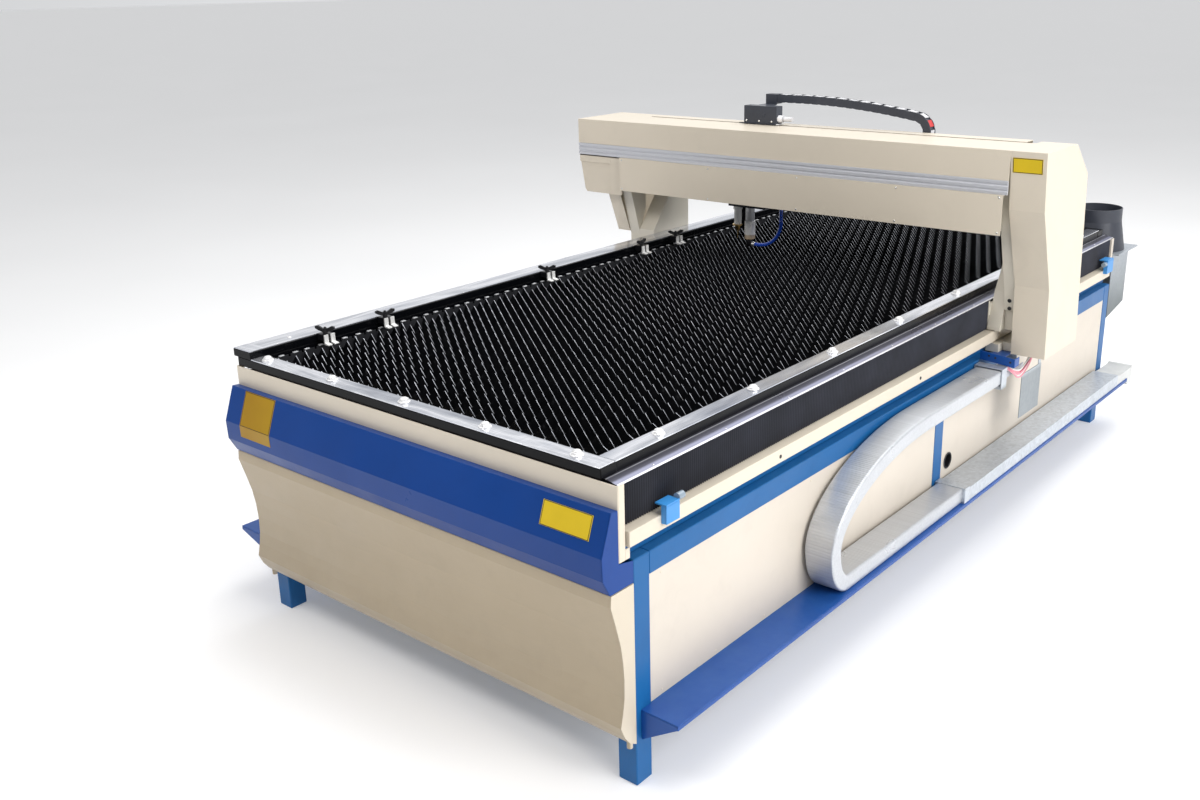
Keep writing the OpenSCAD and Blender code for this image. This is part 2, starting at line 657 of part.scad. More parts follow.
module chain_upper() {
    color([0.14, 0.14, 0.15]) place() py(concat(
        [for (i = [0 : 24]) let (x = chain_x_at(i)) [x, chain_line(x)]],
        [for (i = [24 : -1 : 0]) let (x = chain_x_at(i), m = chain_slope(x), n = sqrt(1 + m * m)) [x + m / n * chain_t, chain_line(x) - chain_t / n]]),
        chain_y0, chain_y1);
}
module chain_loop() {
    color([0.14, 0.14, 0.15]) place() py(concat(
        arc(chain_x, chain_z, chain_r, chain_a, -90, 28),
        arc(chain_x, chain_z, chain_r - chain_t, -90, chain_a, 28)), chain_y0, chain_y1);
}
module chain_lower() {
    color([0.14, 0.14, 0.15]) place() bx(-800, chain_x - 0.3, chain_y0, chain_y1, chain_z - chain_r, chain_z - chain_r + chain_t);
}

// ---- head ---------------------------------------------------------------------------

tx = cxm - 92.5;
ty = by + 239;

module head_bracket() {
    color([0.12, 0.12, 0.13]) place() {
        bx(cxm - 120, cxm - 12, by + 235.4, by + 246, 1092, 1290);
        bx(tx - 38, tx + 144, by + 222, by + 272, 1062, 1092);
        bx(tx - 16, tx + 30, by + 263, by + 272, 962, 1062);
        cz(tx + 62, ty, 896, 928, 15);
    }
}
module lens_tube() {
    color([0.88, 0.88, 0.86]) place() {
        cz(tx, ty, 985, 1050, 16);
        cz(tx, ty, 1050, 1062, 20);
    }
}
module nozzle() {
    color([0.80, 0.62, 0.28]) place() {
        cz(tx, ty, 979, 985, 22);
        translate([tx, ty, 957]) cylinder(h = 22, r1 = 7, r2 = 14);
        cz(tx, ty, 924, 957, 2.2);
    }
}
module sensor() {
    color([0.80, 0.80, 0.79]) place() {
        cz(tx + 62, ty, 1004, 1062, 19.5);
        cz(tx + 62, ty, 946, 1004, 23);
        cz(tx + 62, ty, 928, 946, 22);
    }
}
hose_x = tx + 110;
hose_r = 106;
module gas_hose() {
    color([0.15, 0.30, 0.75]) place() {
        cx(tx + 77.4, hose_x, ty, 906, 8);
        translate([hose_x, ty, 906 + hose_r]) rotate([90, 0, 0]) rotate([0, 0, -90]) rotate_extrude(angle = 90) translate([hose_r, 0]) circle(r = 8);
        cz(hose_x + hose_r, ty, 906 + hose_r, 1139.6, 8);
    }
}

frame_posts();
frame_rails();
infill_panels();
front_band();
front_cover_upper();
front_cover_lower();
label_plates();
table_frame();
fence_bar();
steel_strips();
strip_bolts();
clamp_bases();
clamp_prongs();
clamp_knob_1();
clamp_knob_2();
clamp_knob_3();
clamp_knob_4();
clamp_knob_5();
slats_odd();
slats_even();
slat_combs();
bed_tray();
bed_walls();
rail_ledges();
linear_rails();
rail_covers();
bellows_front();
bellows_rear();
shelves();
conduit_lower();
conduit_loop();
conduit_upper();
rear_duct();
duct_fitting();
limit_stops();
limit_dampers();
exhaust_hood();
exhaust_collar();
column_bodies();
column_covers();
column_plate();
guide_blocks();
beam_core();
beam_cover();
groove_strip();
beam_fascia();
beam_rails();
foot_plate();
cable_plates();
signal_cables();
carriage_plate();
carriage_box();
chain_upper();
chain_loop();
chain_lower();
head_bracket();
lens_tube();
nozzle();
sensor();
gas_hose();
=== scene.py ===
import math, random
import bpy, bmesh
from mathutils import Vector, Matrix


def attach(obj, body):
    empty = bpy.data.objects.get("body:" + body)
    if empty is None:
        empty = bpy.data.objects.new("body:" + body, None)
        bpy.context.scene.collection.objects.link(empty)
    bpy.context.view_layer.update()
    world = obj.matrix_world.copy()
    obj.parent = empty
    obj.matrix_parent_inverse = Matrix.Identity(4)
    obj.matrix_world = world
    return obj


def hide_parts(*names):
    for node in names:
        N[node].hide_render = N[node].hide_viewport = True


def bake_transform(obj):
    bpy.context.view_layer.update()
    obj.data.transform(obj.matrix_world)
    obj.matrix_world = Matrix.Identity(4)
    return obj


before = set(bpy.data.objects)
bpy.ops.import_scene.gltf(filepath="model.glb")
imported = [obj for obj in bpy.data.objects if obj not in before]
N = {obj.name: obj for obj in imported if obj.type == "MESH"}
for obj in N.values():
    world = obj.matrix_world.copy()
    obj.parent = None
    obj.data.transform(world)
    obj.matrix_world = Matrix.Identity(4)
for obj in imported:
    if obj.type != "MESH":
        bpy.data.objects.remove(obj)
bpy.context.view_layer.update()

random.seed(7)

# ---------------------------------------------------------------- sizes, as in part.scad
MX, MY = -844.0, 1784.0
W, L = 1558.0, 3384.0
GY = 2084.0
BY = GY - 133.0
BZ = 1415.0
CX = -1107.5
SH = 220.0


def T(x, y, z):
    return Vector(((x - MX) / 1000.0, (y - MY) / 1000.0, z / 1000.0))


# ---------------------------------------------------------------- camera
def camera():
    f, az, el, roll = 1191.821, 40.117, 17.801, 1.174
    C = Vector((1663.0 - MX, -2004.0 - MY, 1988.0)) / 1000.0
    ppx, ppy = 21.239, -36.641
    a, e, r = math.radians(az), math.radians(el), math.radians(roll)
    fwd = Vector((-math.sin(a) * math.cos(e), math.cos(a) * math.cos(e), -math.sin(e)))
    right = Vector((math.cos(a), math.sin(a), 0))
    down = fwd.cross(right)
    rr = math.cos(r) * right + math.sin(r) * down
    dd = -math.sin(r) * right + math.cos(r) * down
    m = Matrix(((rr.x, -dd.x, -fwd.x, C.x), (rr.y, -dd.y, -fwd.y, C.y), (rr.z, -dd.z, -fwd.z, C.z), (0, 0, 0, 1)))
    cam = bpy.data.cameras.new("camera")
    cam.sensor_width = 36.0
    cam.lens = f * 36.0 / 1200.0
    cam.shift_x = -ppx / 1200.0
    cam.shift_y = ppy / 1200.0
    cam.clip_start, cam.clip_end = 0.05, 400
    o = bpy.data.objects.new("camera", cam)
    bpy.context.collection.objects.link(o)
    o.matrix_world = m
    bpy.context.scene.camera = o


camera()


# ---------------------------------------------------------------- materials
class Mat:
    """A principled material with a small node helper. Coordinates are object coordinates in metres."""

    def __init__(self, name, rough=0.5, metal=0.0, spec=0.5, coat=0.0, coat_rough=0.1, sheen=0.0):
        self.m = bpy.data.materials.new(name)
        self.m.use_nodes = True
        self.t = self.m.node_tree
        self.b = self.t.nodes["Principled BSDF"]
        self.b.inputs["Roughness"].default_value = rough
        self.b.inputs["Metallic"].default_value = metal
        self.b.inputs["Specular IOR Level"].default_value = spec
        self.b.inputs["Coat Weight"].default_value = coat
        self.b.inputs["Coat Roughness"].default_value = coat_rough
        self.b.inputs["Sheen Weight"].default_value = sheen
        self.co = self.n("ShaderNodeTexCoord").outputs["Object"]
        self.bump_chain = None

    def n(self, kind, **kw):
        node = self.t.nodes.new(kind)
        for k, v in kw.items():
            setattr(node, k, v)
        return node

    def link(self, a, b):
        self.t.links.new(a, b)

    def map(self, scale=(1, 1, 1), rot=(0, 0, 0), loc=(0, 0, 0)):
        n = self.n("ShaderNodeMapping")
        n.inputs["Scale"].default_value = scale
        n.inputs["Rotation"].default_value = rot
        n.inputs["Location"].default_value = loc
        self.link(self.co, n.inputs["Vector"])
        return n.outputs["Vector"]

    def noise(self, scale=5, detail=4, rough=0.55, vec=None, dist=0.0):
        n = self.n("ShaderNodeTexNoise")
        n.inputs["Scale"].default_value = scale
        n.inputs["Detail"].default_value = detail
        n.inputs["Roughness"].default_value = rough
        n.inputs["Distortion"].default_value = dist
        self.link(vec if vec is not None else self.co, n.inputs["Vector"])
        return n.outputs["Fac"]

    def ramp(self, fac, stops, interp="LINEAR"):
        n = self.n("ShaderNodeValToRGB")
        n.color_ramp.interpolation = interp
        els = n.color_ramp.elements
        while len(els) < len(stops):
            els.new(0.5)
        for e, (p, c) in zip(els, stops):
            e.position = p
            e.color = (c[0], c[1], c[2], 1) if not isinstance(c, (int, float)) else (c, c, c, 1)
        self.link(fac, n.inputs["Fac"])
        return n.outputs["Color"]

    def range(self, fac, a, b, c, d, clamp=True):
        n = self.n("ShaderNodeMapRange")
        n.clamp = clamp
        for k, v in zip(("From Min", "From Max", "To Min", "To Max"), (a, b, c, d)):
            n.inputs[k].default_value = v
        self.link(fac, n.inputs["Value"])
        return n.outputs["Result"]

    def mix(self, fac, a, b, mode="MIX"):
        n = self.n("ShaderNodeMix", data_type="RGBA", blend_type=mode)
        for s, v in ((0, fac), (6, a), (7, b)):
            if isinstance(v, (int, float)):
                n.inputs[s].default_value = v
            elif isinstance(v, (tuple, list)):
                n.inputs[s].default_value = (v[0], v[1], v[2], 1)
            else:
                self.link(v, n.inputs[s])
        return n.outputs[2]

    def math(self, op, a, b=None):
        n = self.n("ShaderNodeMath", operation=op)
        for i, v in enumerate((a, b)):
            if v is None:
                continue
            if isinstance(v, (int, float)):
                n.inputs[i].default_value = v
            else:
                self.link(v, n.inputs[i])
        return n.outputs[0]

    def axis(self, name):
        n = self.n("ShaderNodeSeparateXYZ")
        self.link(self.co, n.inputs[0])
        return n.outputs[name]

    def normal_axis(self, name):
        g = self.n("ShaderNodeNewGeometry")
        n = self.n("ShaderNodeSeparateXYZ")
        self.link(g.outputs["Normal"], n.inputs[0])
        return n.outputs[name]

    def bump(self, height, strength=0.2, dist=0.001):
        n = self.n("ShaderNodeBump")
        n.inputs["Strength"].default_value = strength
        n.inputs["Distance"].default_value = dist
        self.link(height, n.inputs["Height"])
        if self.bump_chain is not None:
            self.link(self.bump_chain, n.inputs["Normal"])
        self.bump_chain = n.outputs["Normal"]
        self.link(self.bump_chain, self.b.inputs["Normal"])

    def color(self, c):
        self.link(c, self.b.inputs["Base Color"])

    def roughness(self, r):
        self.link(r, self.b.inputs["Roughness"])


def mul(c, k):
    return tuple(min(1.0, v * k) for v in c)


def mixc(a, b, t):
    return tuple(x * (1 - t) + y * t for x, y in zip(a, b))


def paint(name, base, rough=0.38, var=0.07, peel=0.10, dust=0.0, dust_col=(0.55, 0.52, 0.47), grime=0.0, coat=0.15, spec=0.5, scratch=0.0,
          painted_shade_z=None, painted_shade_front=None):
    """Powder-coated sheet: slight tone drift, orange peel, faint rubbed marks, dust on upward faces, and optional
    painted shade, darker towards the bottom and on faces turned to the front.
    """
    m = Mat(name, rough=rough, spec=spec, coat=coat, coat_rough=0.25)
    big = m.noise(1.7, 5, 0.6)
    c = m.ramp(big, [(0.30, mul(base, 1 - var)), (0.55, base), (0.80, mul(base, 1 + var * 0.6))])
    if grime:
        g = m.noise(9.0, 8, 0.7, dist=0.4)
        g = m.range(g, 0.52, 0.72, 0.0, grime)
        c = m.mix(g, c, mul(base, 0.62))
    if scratch:
        v = m.map(scale=(26, 3.2, 60), rot=(0.2, 0.5, 0.3))
        s = m.noise(4.0, 3, 0.7, vec=v)
        s = m.range(s, 0.66, 0.74, 0.0, scratch)
        c = m.mix(s, c, mixc(base, (0.8, 0.8, 0.8), 0.45))
    if dust:
        up = m.range(m.normal_axis("Z"), 0.55, 0.98, 0.0, 1.0)
        d = m.range(m.noise(14.0, 7, 0.65), 0.35, 0.75, 0.15, 1.0)
        c = m.mix(m.math("MULTIPLY", m.math("MULTIPLY", up, d), dust), c, dust_col)
    # painted shade: darker towards the bottom, broken up by noise
    if painted_shade_z:
        z0, z1, k = painted_shade_z
        zz = m.range(m.axis("Z"), z0, z1, k, 0.0)
        zz = m.math("MULTIPLY", zz, m.range(m.noise(6.0, 6, 0.6), 0.3, 0.7, 0.4, 1.0))
        c = m.mix(zz, c, mul(base, 0.55))
    # painted shade: faces turned to the front keep the darker base colour; the other faces take the given lighter
    # colour
    if painted_shade_front:
        c = m.mix(m.range(m.normal_axis("Y"), -0.80, -0.45, 0.0, 1.0), c, painted_shade_front)
    m.color(c)
    m.roughness(m.range(m.noise(5.5, 6, 0.6), 0.3, 0.75, rough - 0.07, rough + 0.10))
    m.bump(m.noise(420.0, 2, 0.5), peel, 0.0004)
    m.bump(m.noise(3.0, 2, 0.5), 0.05, 0.004)
    return m.m


def metal(name, base, rough=0.32, metalness=1.0, streak="X", streak_amt=0.12, spangle=0.0, stain=0.15, bump=0.12, shade=None):
    """Sheet or bar metal with rolling streaks along one axis, stains, optional zinc spangle and optional painted shade
    towards the bottom.
    """
    m = Mat(name, rough=rough, metal=metalness)
    sc = {"X": (1.5, 160, 160), "Y": (160, 1.5, 160), "Z": (160, 160, 1.5)}[streak]
    v = m.map(scale=sc)
    s = m.noise(1.0, 4, 0.6, vec=v)
    c = m.ramp(s, [(0.25, mul(base, 1 - streak_amt)), (0.5, base), (0.78, mul(base, 1 + streak_amt))])
    if spangle:
        vo = m.n("ShaderNodeTexVoronoi")
        vo.inputs["Scale"].default_value = 90.0
        m.link(m.co, vo.inputs["Vector"])
        g = m.range(vo.outputs["Color"], 0.0, 1.0, 1 - spangle, 1 + spangle * 0.5)
        hsv = m.n("ShaderNodeHueSaturation")
        m.link(c, hsv.inputs["Color"])
        m.link(g, hsv.inputs["Value"])
        c = hsv.outputs["Color"]
    st = m.range(m.noise(7.0, 8, 0.7, dist=0.5), 0.5, 0.75, 0.0, stain)
    c = m.mix(st, c, mul(base, 0.55))
    # painted shade: darker towards the bottom
    if shade:
        z0, z1, k = shade
        c = m.mix(m.range(m.axis("Z"), z0, z1, k, 0.0), c, (0.11, 0.135, 0.14))
    m.color(c)
    m.roughness(m.range(m.noise(7.0, 2, 0.5), 0.3, 0.75, max(0.05, rough - 0.04), rough + 0.10))
    m.bump(s, bump, 0.0004)
    return m.m


def plastic(name, base, rough=0.45, grain=0.15, grain_scale=900, coat=0.0, var=0.08):
    m = Mat(name, rough=rough, coat=coat)
    c = m.ramp(m.noise(12, 5, 0.6), [(0.3, mul(base, 1 - var)), (0.7, mul(base, 1 + var))])
    m.color(c)
    m.roughness(m.range(m.noise(30, 4, 0.6), 0.3, 0.7, rough - 0.06, rough + 0.08))
    m.bump(m.noise(grain_scale, 2, 0.6), grain, 0.0003)
    return m.m


BLUE = (0.005, 0.066, 0.30)
CREAM = (0.70, 0.628, 0.512)
M = {}
M["blue"] = paint("blue_paint", BLUE, rough=0.36, var=0.10, peel=0.10, dust=0.10, dust_col=(0.16, 0.32, 0.52), grime=0.25, coat=0.10, spec=0.32)
M["blue_frame"] = paint("blue_paint_frame", (0.009, 0.114, 0.325), rough=0.36, var=0.10, peel=0.10, dust=0.10, dust_col=(0.16, 0.36, 0.52), grime=0.25, coat=0.05, spec=0.24)
# painted shade: a darker copy of the blue paint for the front cover
M["blue_front_painted_shade"] = paint("blue_paint_front_shaded", (0.0035, 0.050, 0.255), rough=0.34, var=0.12, peel=0.10, dust=0.08, dust_col=(0.10, 0.22, 0.45), grime=0.20, coat=0.06, spec=0.22)
M["cream"] = paint("cream_paint", CREAM, rough=0.42, var=0.04, peel=0.08, dust=0.06, grime=0.08, coat=0.12)
# painted shade: a darker copy of the cream paint for the lower front cover, darker again towards the bottom and on its
# front faces
M["cream_front_painted_shade"] = paint("cream_paint_front_shaded", (0.455, 0.372, 0.255), rough=0.42, var=0.05, peel=0.08, dust=0.06, grime=0.12, coat=0.10, painted_shade_z=(0.14, 0.50, 0.35), painted_shade_front=(0.61, 0.54, 0.43))
# painted shade: darker towards the bottom
M["cream_low"] = paint("cream_paint_low", (0.655, 0.592, 0.510), rough=0.44, var=0.05, peel=0.08, dust=0.06, grime=0.12, coat=0.10, painted_shade_z=(0.14, 0.42, 0.30))
M["white"] = paint("white_paint", (0.70, 0.655, 0.555), rough=0.40, var=0.04, peel=0.06, dust=0.06, grime=0.08)
M["black"] = paint("black_paint", (0.0022, 0.0025, 0.0035), rough=0.22, var=0.25, peel=0.05, dust=0.04, dust_col=(0.05, 0.05, 0.06), coat=0.03, spec=0.12, scratch=0.04)
M["blackmatt"] = paint("black_matt", (0.006, 0.006, 0.008), rough=0.36, var=0.25, peel=0.10, dust=0.06, dust_col=(0.06, 0.06, 0.07), spec=0.35)
M["dark"] = paint("dark_paint", (0.006, 0.006, 0.008), rough=0.7, var=0.25, peel=0.14, dust=0.10, dust_col=(0.04, 0.04, 0.04))
M["lblue"] = paint("light_blue_paint", (0.04, 0.27, 0.66), rough=0.36, var=0.10, peel=0.10, grime=0.15)


def plate_mat():
    """Yellow plates: the colour runs from brown on the left to yellow on the right."""
    m = Mat("yellow_plate", rough=0.40, spec=0.25, coat=0.03, coat_rough=0.25)
    c = m.mix(m.range(m.axis("X"), -0.6, 0.2, 0.0, 1.0), (0.37, 0.205, 0.008), (0.70, 0.50, 0.020))
    k = m.range(m.noise(6.0, 5, 0.6), 0.3, 0.7, 0.93, 1.05)
    hsv = m.n("ShaderNodeHueSaturation")
    m.link(c, hsv.inputs["Color"])
    m.link(k, hsv.inputs["Value"])
    m.color(hsv.outputs["Color"])
    m.roughness(m.range(m.noise(9.0, 5, 0.6), 0.3, 0.75, 0.32, 0.48))
    m.bump(m.noise(420.0, 2, 0.5), 0.04, 0.0003)
    return m.m


M["yellow"] = plate_mat()


def mirror_steel(name, axis):
    """Bright rolled flat bar: painted reflections as long pale and dark drifts along the bar, fine lines, light wear.
    """
    m = Mat(name, rough=0.15, metal=0.85)
    f = m.noise(1.7, 3, 0.55, vec=m.map(scale=(6.0, 0.8, 1.0)), dist=0.3)
    g = m.noise(1.9, 3, 0.55, vec=m.map(scale=(1.3, 8.0, 1.0)), dist=0.3)
    front = m.range(m.axis("Y"), -1.7725, -1.7715, 1.0, 0.0)
    f = m.math("ADD", m.math("MULTIPLY", f, m.math("SUBTRACT", 1.0, front)), m.math("MULTIPLY", g, front))
    # painted reflection: the two noises set pale and dark bands, one along the top, one along the front face
    c = m.ramp(f, [(0.30, (0.30, 0.32, 0.38)), (0.45, (0.56, 0.58, 0.63)), (0.56, (0.90, 0.91, 0.95)), (0.66, (0.62, 0.64, 0.70)), (0.8, (0.36, 0.38, 0.44))])
    v = m.map(scale=(160, 1.5, 160) if axis == "Y" else (1.5, 160, 160))
    k = m.range(m.noise(1.0, 4, 0.6, vec=v), 0.3, 0.7, 0.92, 1.06)
    hsv = m.n("ShaderNodeHueSaturation")
    m.link(c, hsv.inputs["Color"])
    m.link(k, hsv.inputs["Value"])
    m.color(hsv.outputs["Color"])
    m.roughness(m.range(m.noise(9.0, 5, 0.6), 0.3, 0.75, 0.10, 0.26))
    m.bump(m.noise(300, 2, 0.5), 0.02, 0.0002)
    return m.m


M["steel_y"] = mirror_steel("steel_strip", "Y")
M["comb"] = metal("steel_comb", (0.020, 0.021, 0.025), rough=0.45, streak="Y", stain=0.3, metalness=0.3)
M["tick"] = metal("steel_tick", (0.62, 0.63, 0.65), rough=0.40, streak="X", stain=0.3, metalness=0.4)
M["galv"] = metal("galvanised", (0.56, 0.60, 0.65), rough=0.38, streak="Z", streak_amt=0.05, spangle=0.16, stain=0.15, metalness=0.6)
M["galv_hood"] = metal("galvanised_hood", (0.56, 0.60, 0.65), rough=0.36, streak="Z", streak_amt=0.05, spangle=0.12, stain=0.15, metalness=0.6, shade=(0.48, 0.86, 1.0))
M["galv_plate"] = metal("galvanised_plate", (0.56, 0.60, 0.65), rough=0.38, streak="Z", streak_amt=0.05, spangle=0.10, stain=0.15, metalness=0.6, shade=(0.560, 0.585, 0.62))
M["prong"] = metal("zinc_prong", (0.90, 0.90, 0.89), rough=0.30, streak="Z", stain=0.08, metalness=0.3)
M["ground"] = metal("ground_steel", (0.55, 0.56, 0.58), rough=0.24, streak="Y", stain=0.1)
M["zinc"] = metal("zinc_steel", (0.82, 0.82, 0.81), rough=0.22, streak="Z", stain=0.10, metalness=0.85)
M["alu"] = metal("strip_alu", (0.60, 0.61, 0.65), rough=0.38, streak="X", stain=0.05, streak_amt=0.04, metalness=0.35)
M["conduit"] = metal("conduit_metal", (0.56, 0.58, 0.61), rough=0.30, streak="X", streak_amt=0.10, stain=0.04, metalness=0.6)
M["darksteel"] = metal("dark_steel", (0.035, 0.035, 0.04), rough=0.42, streak="Z", stain=0.2)
M["bolt"] = metal("bolt_zinc", (0.88, 0.88, 0.88), rough=0.27, streak="Z", stain=0.05, metalness=0.5)
M["brass"] = metal("brass", (0.72, 0.50, 0.20), rough=0.25, streak="Z", stain=0.2)
M["lens"] = metal("lens_white", (0.97, 0.97, 0.96), rough=0.24, streak="Z", stain=0.03, metalness=0.05)
M["gplastic"] = plastic("grey_plastic", (0.62, 0.63, 0.62), rough=0.5)
M["bplastic"] = plastic("black_plastic", (0.012, 0.012, 0.014), rough=0.36, grain=0.2)
M["slate"] = plastic("slate_plastic", (0.040, 0.045, 0.060), rough=0.38, grain=0.15)
M["lplastic"] = plastic("light_grey_plastic", (0.60, 0.60, 0.62), rough=0.45)
M["rubber"] = plastic("rubber_dark", (0.035, 0.035, 0.038), rough=0.75, grain=0.35)
M["pink"] = plastic("cable_pink", (0.82, 0.33, 0.40), rough=0.5)
M["damper"] = plastic("damper_grey", (0.24, 0.30, 0.36), rough=0.25, grain=0.05, coat=0.3)
M["hose"] = plastic("hose_blue", (0.012, 0.075, 0.55), rough=0.22, coat=0.5, grain=0.05)
M["red"] = plastic("red_cap", (0.55, 0.03, 0.03), rough=0.4)
M["wplastic"] = plastic("white_plastic", (0.75, 0.75, 0.73), rough=0.45)


def rail_cover_mat():
    """Folded bright strip with painted reflection: a darker inner band, a pale outer band and painted highlight lines
    along its edges.
    """
    m = Mat("steel_cover", rough=0.26, metal=0.55)
    d = m.math("ABSOLUTE", m.math("SUBTRACT", m.axis("X"), 0.065))
    v = m.map(scale=(160, 1.5, 160))
    s = m.range(m.noise(1.0, 4, 0.6, vec=v), 0.3, 0.7, 0.9, 1.08)
    # painted reflection and highlight: dark and pale bands across the strip, with bright lines along its edges
    c = m.ramp(m.range(d, 0.699, 0.760, 0.0, 1.0), [(0.0, (0.60, 0.61, 0.68)), (0.05, (0.045, 0.055, 0.085)), (0.34, (0.055, 0.065, 0.10)),
                                                     (0.38, (0.86, 0.86, 0.92)), (0.44, (0.12, 0.12, 0.155)), (0.66, (0.10, 0.10, 0.13)), (0.78, (0.36, 0.37, 0.50)), (0.90, (0.28, 0.29, 0.38)), (0.95, (0.85, 0.85, 0.90))])
    hsv = m.n("ShaderNodeHueSaturation")
    m.link(c, hsv.inputs["Color"])
    m.link(s, hsv.inputs["Value"])
    m.color(hsv.outputs["Color"])
    m.roughness(m.range(m.noise(5.0, 2, 0.5), 0.3, 0.75, 0.26, 0.34))
    m.bump(m.noise(300, 2, 0.5), 0.02, 0.0002)
    return m.m


M["steel_cover"] = rail_cover_mat()


def sensor_mat():
    """Chromed collar over a white sleeve with a pale brown ring at its foot."""
    m = Mat("steel_sensor", rough=0.22, metal=0.15)
    c = m.ramp(m.range(m.axis("Z"), 0.928, 1.062, 0.0, 1.0), [(0.0, (0.55, 0.42, 0.28)), (0.13, (0.62, 0.52, 0.40)), (0.15, (0.95, 0.95, 0.94)),
                                                               (0.56, (0.94, 0.94, 0.93)), (0.58, (0.55, 0.56, 0.58)), (0.98, (0.85, 0.86, 0.88))])
    m.color(c)
    m.roughness(m.range(m.noise(30, 4, 0.6), 0.3, 0.7, 0.16, 0.34))
    m.bump(m.noise(400, 2, 0.5), 0.05, 0.0002)
    return m.m


M["sensor"] = sensor_mat()


def bellows_mat():
    m = Mat("bellows_fabric", rough=0.62, sheen=0.25)
    # painted shade: darkest in the pleat hollows, lighter on the outer crests
    d = m.math("ABSOLUTE", m.math("SUBTRACT", m.axis("X"), 0.065))
    c = m.ramp(m.range(d, 0.7450, 0.7590, 0.0, 1.0), [(0.0, (0.003, 0.003, 0.005)), (0.45, (0.007, 0.008, 0.013)), (0.85, (0.030, 0.033, 0.048)), (1.0, (0.055, 0.060, 0.082))])
    k = m.range(m.noise(6, 6, 0.6), 0.3, 0.7, 0.75, 1.3)
    hsv = m.n("ShaderNodeHueSaturation")
    m.link(c, hsv.inputs["Color"])
    m.link(k, hsv.inputs["Value"])
    c = hsv.outputs["Color"]
    up = m.range(m.noise(55, 4, 0.6), 0.55, 0.8, 0.0, 0.35)
    c = m.mix(up, c, (0.035, 0.036, 0.042))
    m.color(c)
    wv = m.n("ShaderNodeTexWave", wave_type="BANDS", bands_direction="Z")
    wv.inputs["Scale"].default_value = 420
    m.link(m.co, wv.inputs["Vector"])
    m.bump(wv.outputs["Fac"], 0.25, 0.0003)
    m.bump(m.noise(700, 2, 0.6), 0.2, 0.0003)
    return m.m


M["bellows"] = bellows_mat()


def carriage_mat():
    """Slate box with bright connector bodies on its right end."""
    m = Mat("slate_plastic", rough=0.38, metal=0.0)
    right = m.range(m.axis("X"), (CX + 844 + 113.2) / 1000.0, (CX + 844 + 113.6) / 1000.0, 0.0, 1.0)
    body = m.ramp(m.noise(12, 5, 0.6), [(0.3, (0.036, 0.041, 0.055)), (0.7, (0.044, 0.050, 0.066))])
    ring = m.ramp(m.range(m.axis("X"), (CX + 844 + 113) / 1000.0, (CX + 844 + 178) / 1000.0, 0.0, 1.0),
                  [(0.0, (0.80, 0.80, 0.82)), (0.30, (0.86, 0.86, 0.88)), (0.34, (0.35, 0.35, 0.37)), (0.5, (0.74, 0.74, 0.76)), (1.0, (0.60, 0.60, 0.62))])
    m.color(m.mix(right, body, ring))
    m.roughness(m.range(m.noise(30, 4, 0.6), 0.3, 0.7, 0.26, 0.44))
    m.bump(m.noise(900, 2, 0.6), 0.12, 0.0003)
    return m.m




def slat_mat(name, base, tip):
    """Sheet steel slats: near-black oxide on the sides, bright cut edges with a painted highlight on the +X flank of
    each tooth, fading towards the bottom as painted shade.
    """
    m = Mat(name, rough=0.42, metal=0.35)
    body = m.ramp(m.noise(10, 6, 0.65), [(0.3, mul(base, 0.6)), (0.7, mul(base, 1.5))])
    glow = m.range(m.noise(45, 5, 0.7), 0.58, 0.76, 0.0, 0.35)
    # painted shade: the lighter patches and bright edges fade towards the bottom of each slat
    up = m.range(m.axis("Z"), 0.850, 0.876, 0.10, 1.0)
    body = m.mix(m.math("MULTIPLY", glow, up), body, mul(tip, 0.5))
    side = m.math("ABSOLUTE", m.normal_axis("Y"))
    edge = m.range(side, 0.3, 0.7, 1.0, 0.0)
    # painted highlight: edges turned towards +X are brightest
    flank = m.range(m.normal_axis("X"), 0.1, 0.5, 0.12, 1.0)
    rough_edge = m.range(m.noise(60, 5, 0.7), 0.3, 0.62, 0.35, 1.0)
    f = m.math("MULTIPLY", m.math("MULTIPLY", edge, flank), m.math("MULTIPLY", rough_edge, up))
    c = m.mix(f, body, tip)
    heat = m.range(m.noise(25, 5, 0.6), 0.62, 0.78, 0.0, 0.25)
    c = m.mix(m.math("MULTIPLY", heat, edge), c, (0.24, 0.16, 0.11))
    m.color(c)
    m.roughness(m.range(m.noise(40, 4, 0.6), 0.3, 0.7, 0.30, 0.5))
    m.bump(m.noise(300, 3, 0.6), 0.2, 0.0004)
    return m.m


M["slat_a"] = slat_mat("slat_steel_a", (0.005, 0.0055, 0.007), (0.62, 0.64, 0.69))
M["slat_b"] = slat_mat("slat_steel_b", (0.004, 0.0045, 0.006), (0.46, 0.48, 0.53))


M["slate_box"] = carriage_mat()


def rib_mat():
    """Conduit metal with fine transverse corrugations carried by real ribs in the mesh."""
    return M["conduit"]


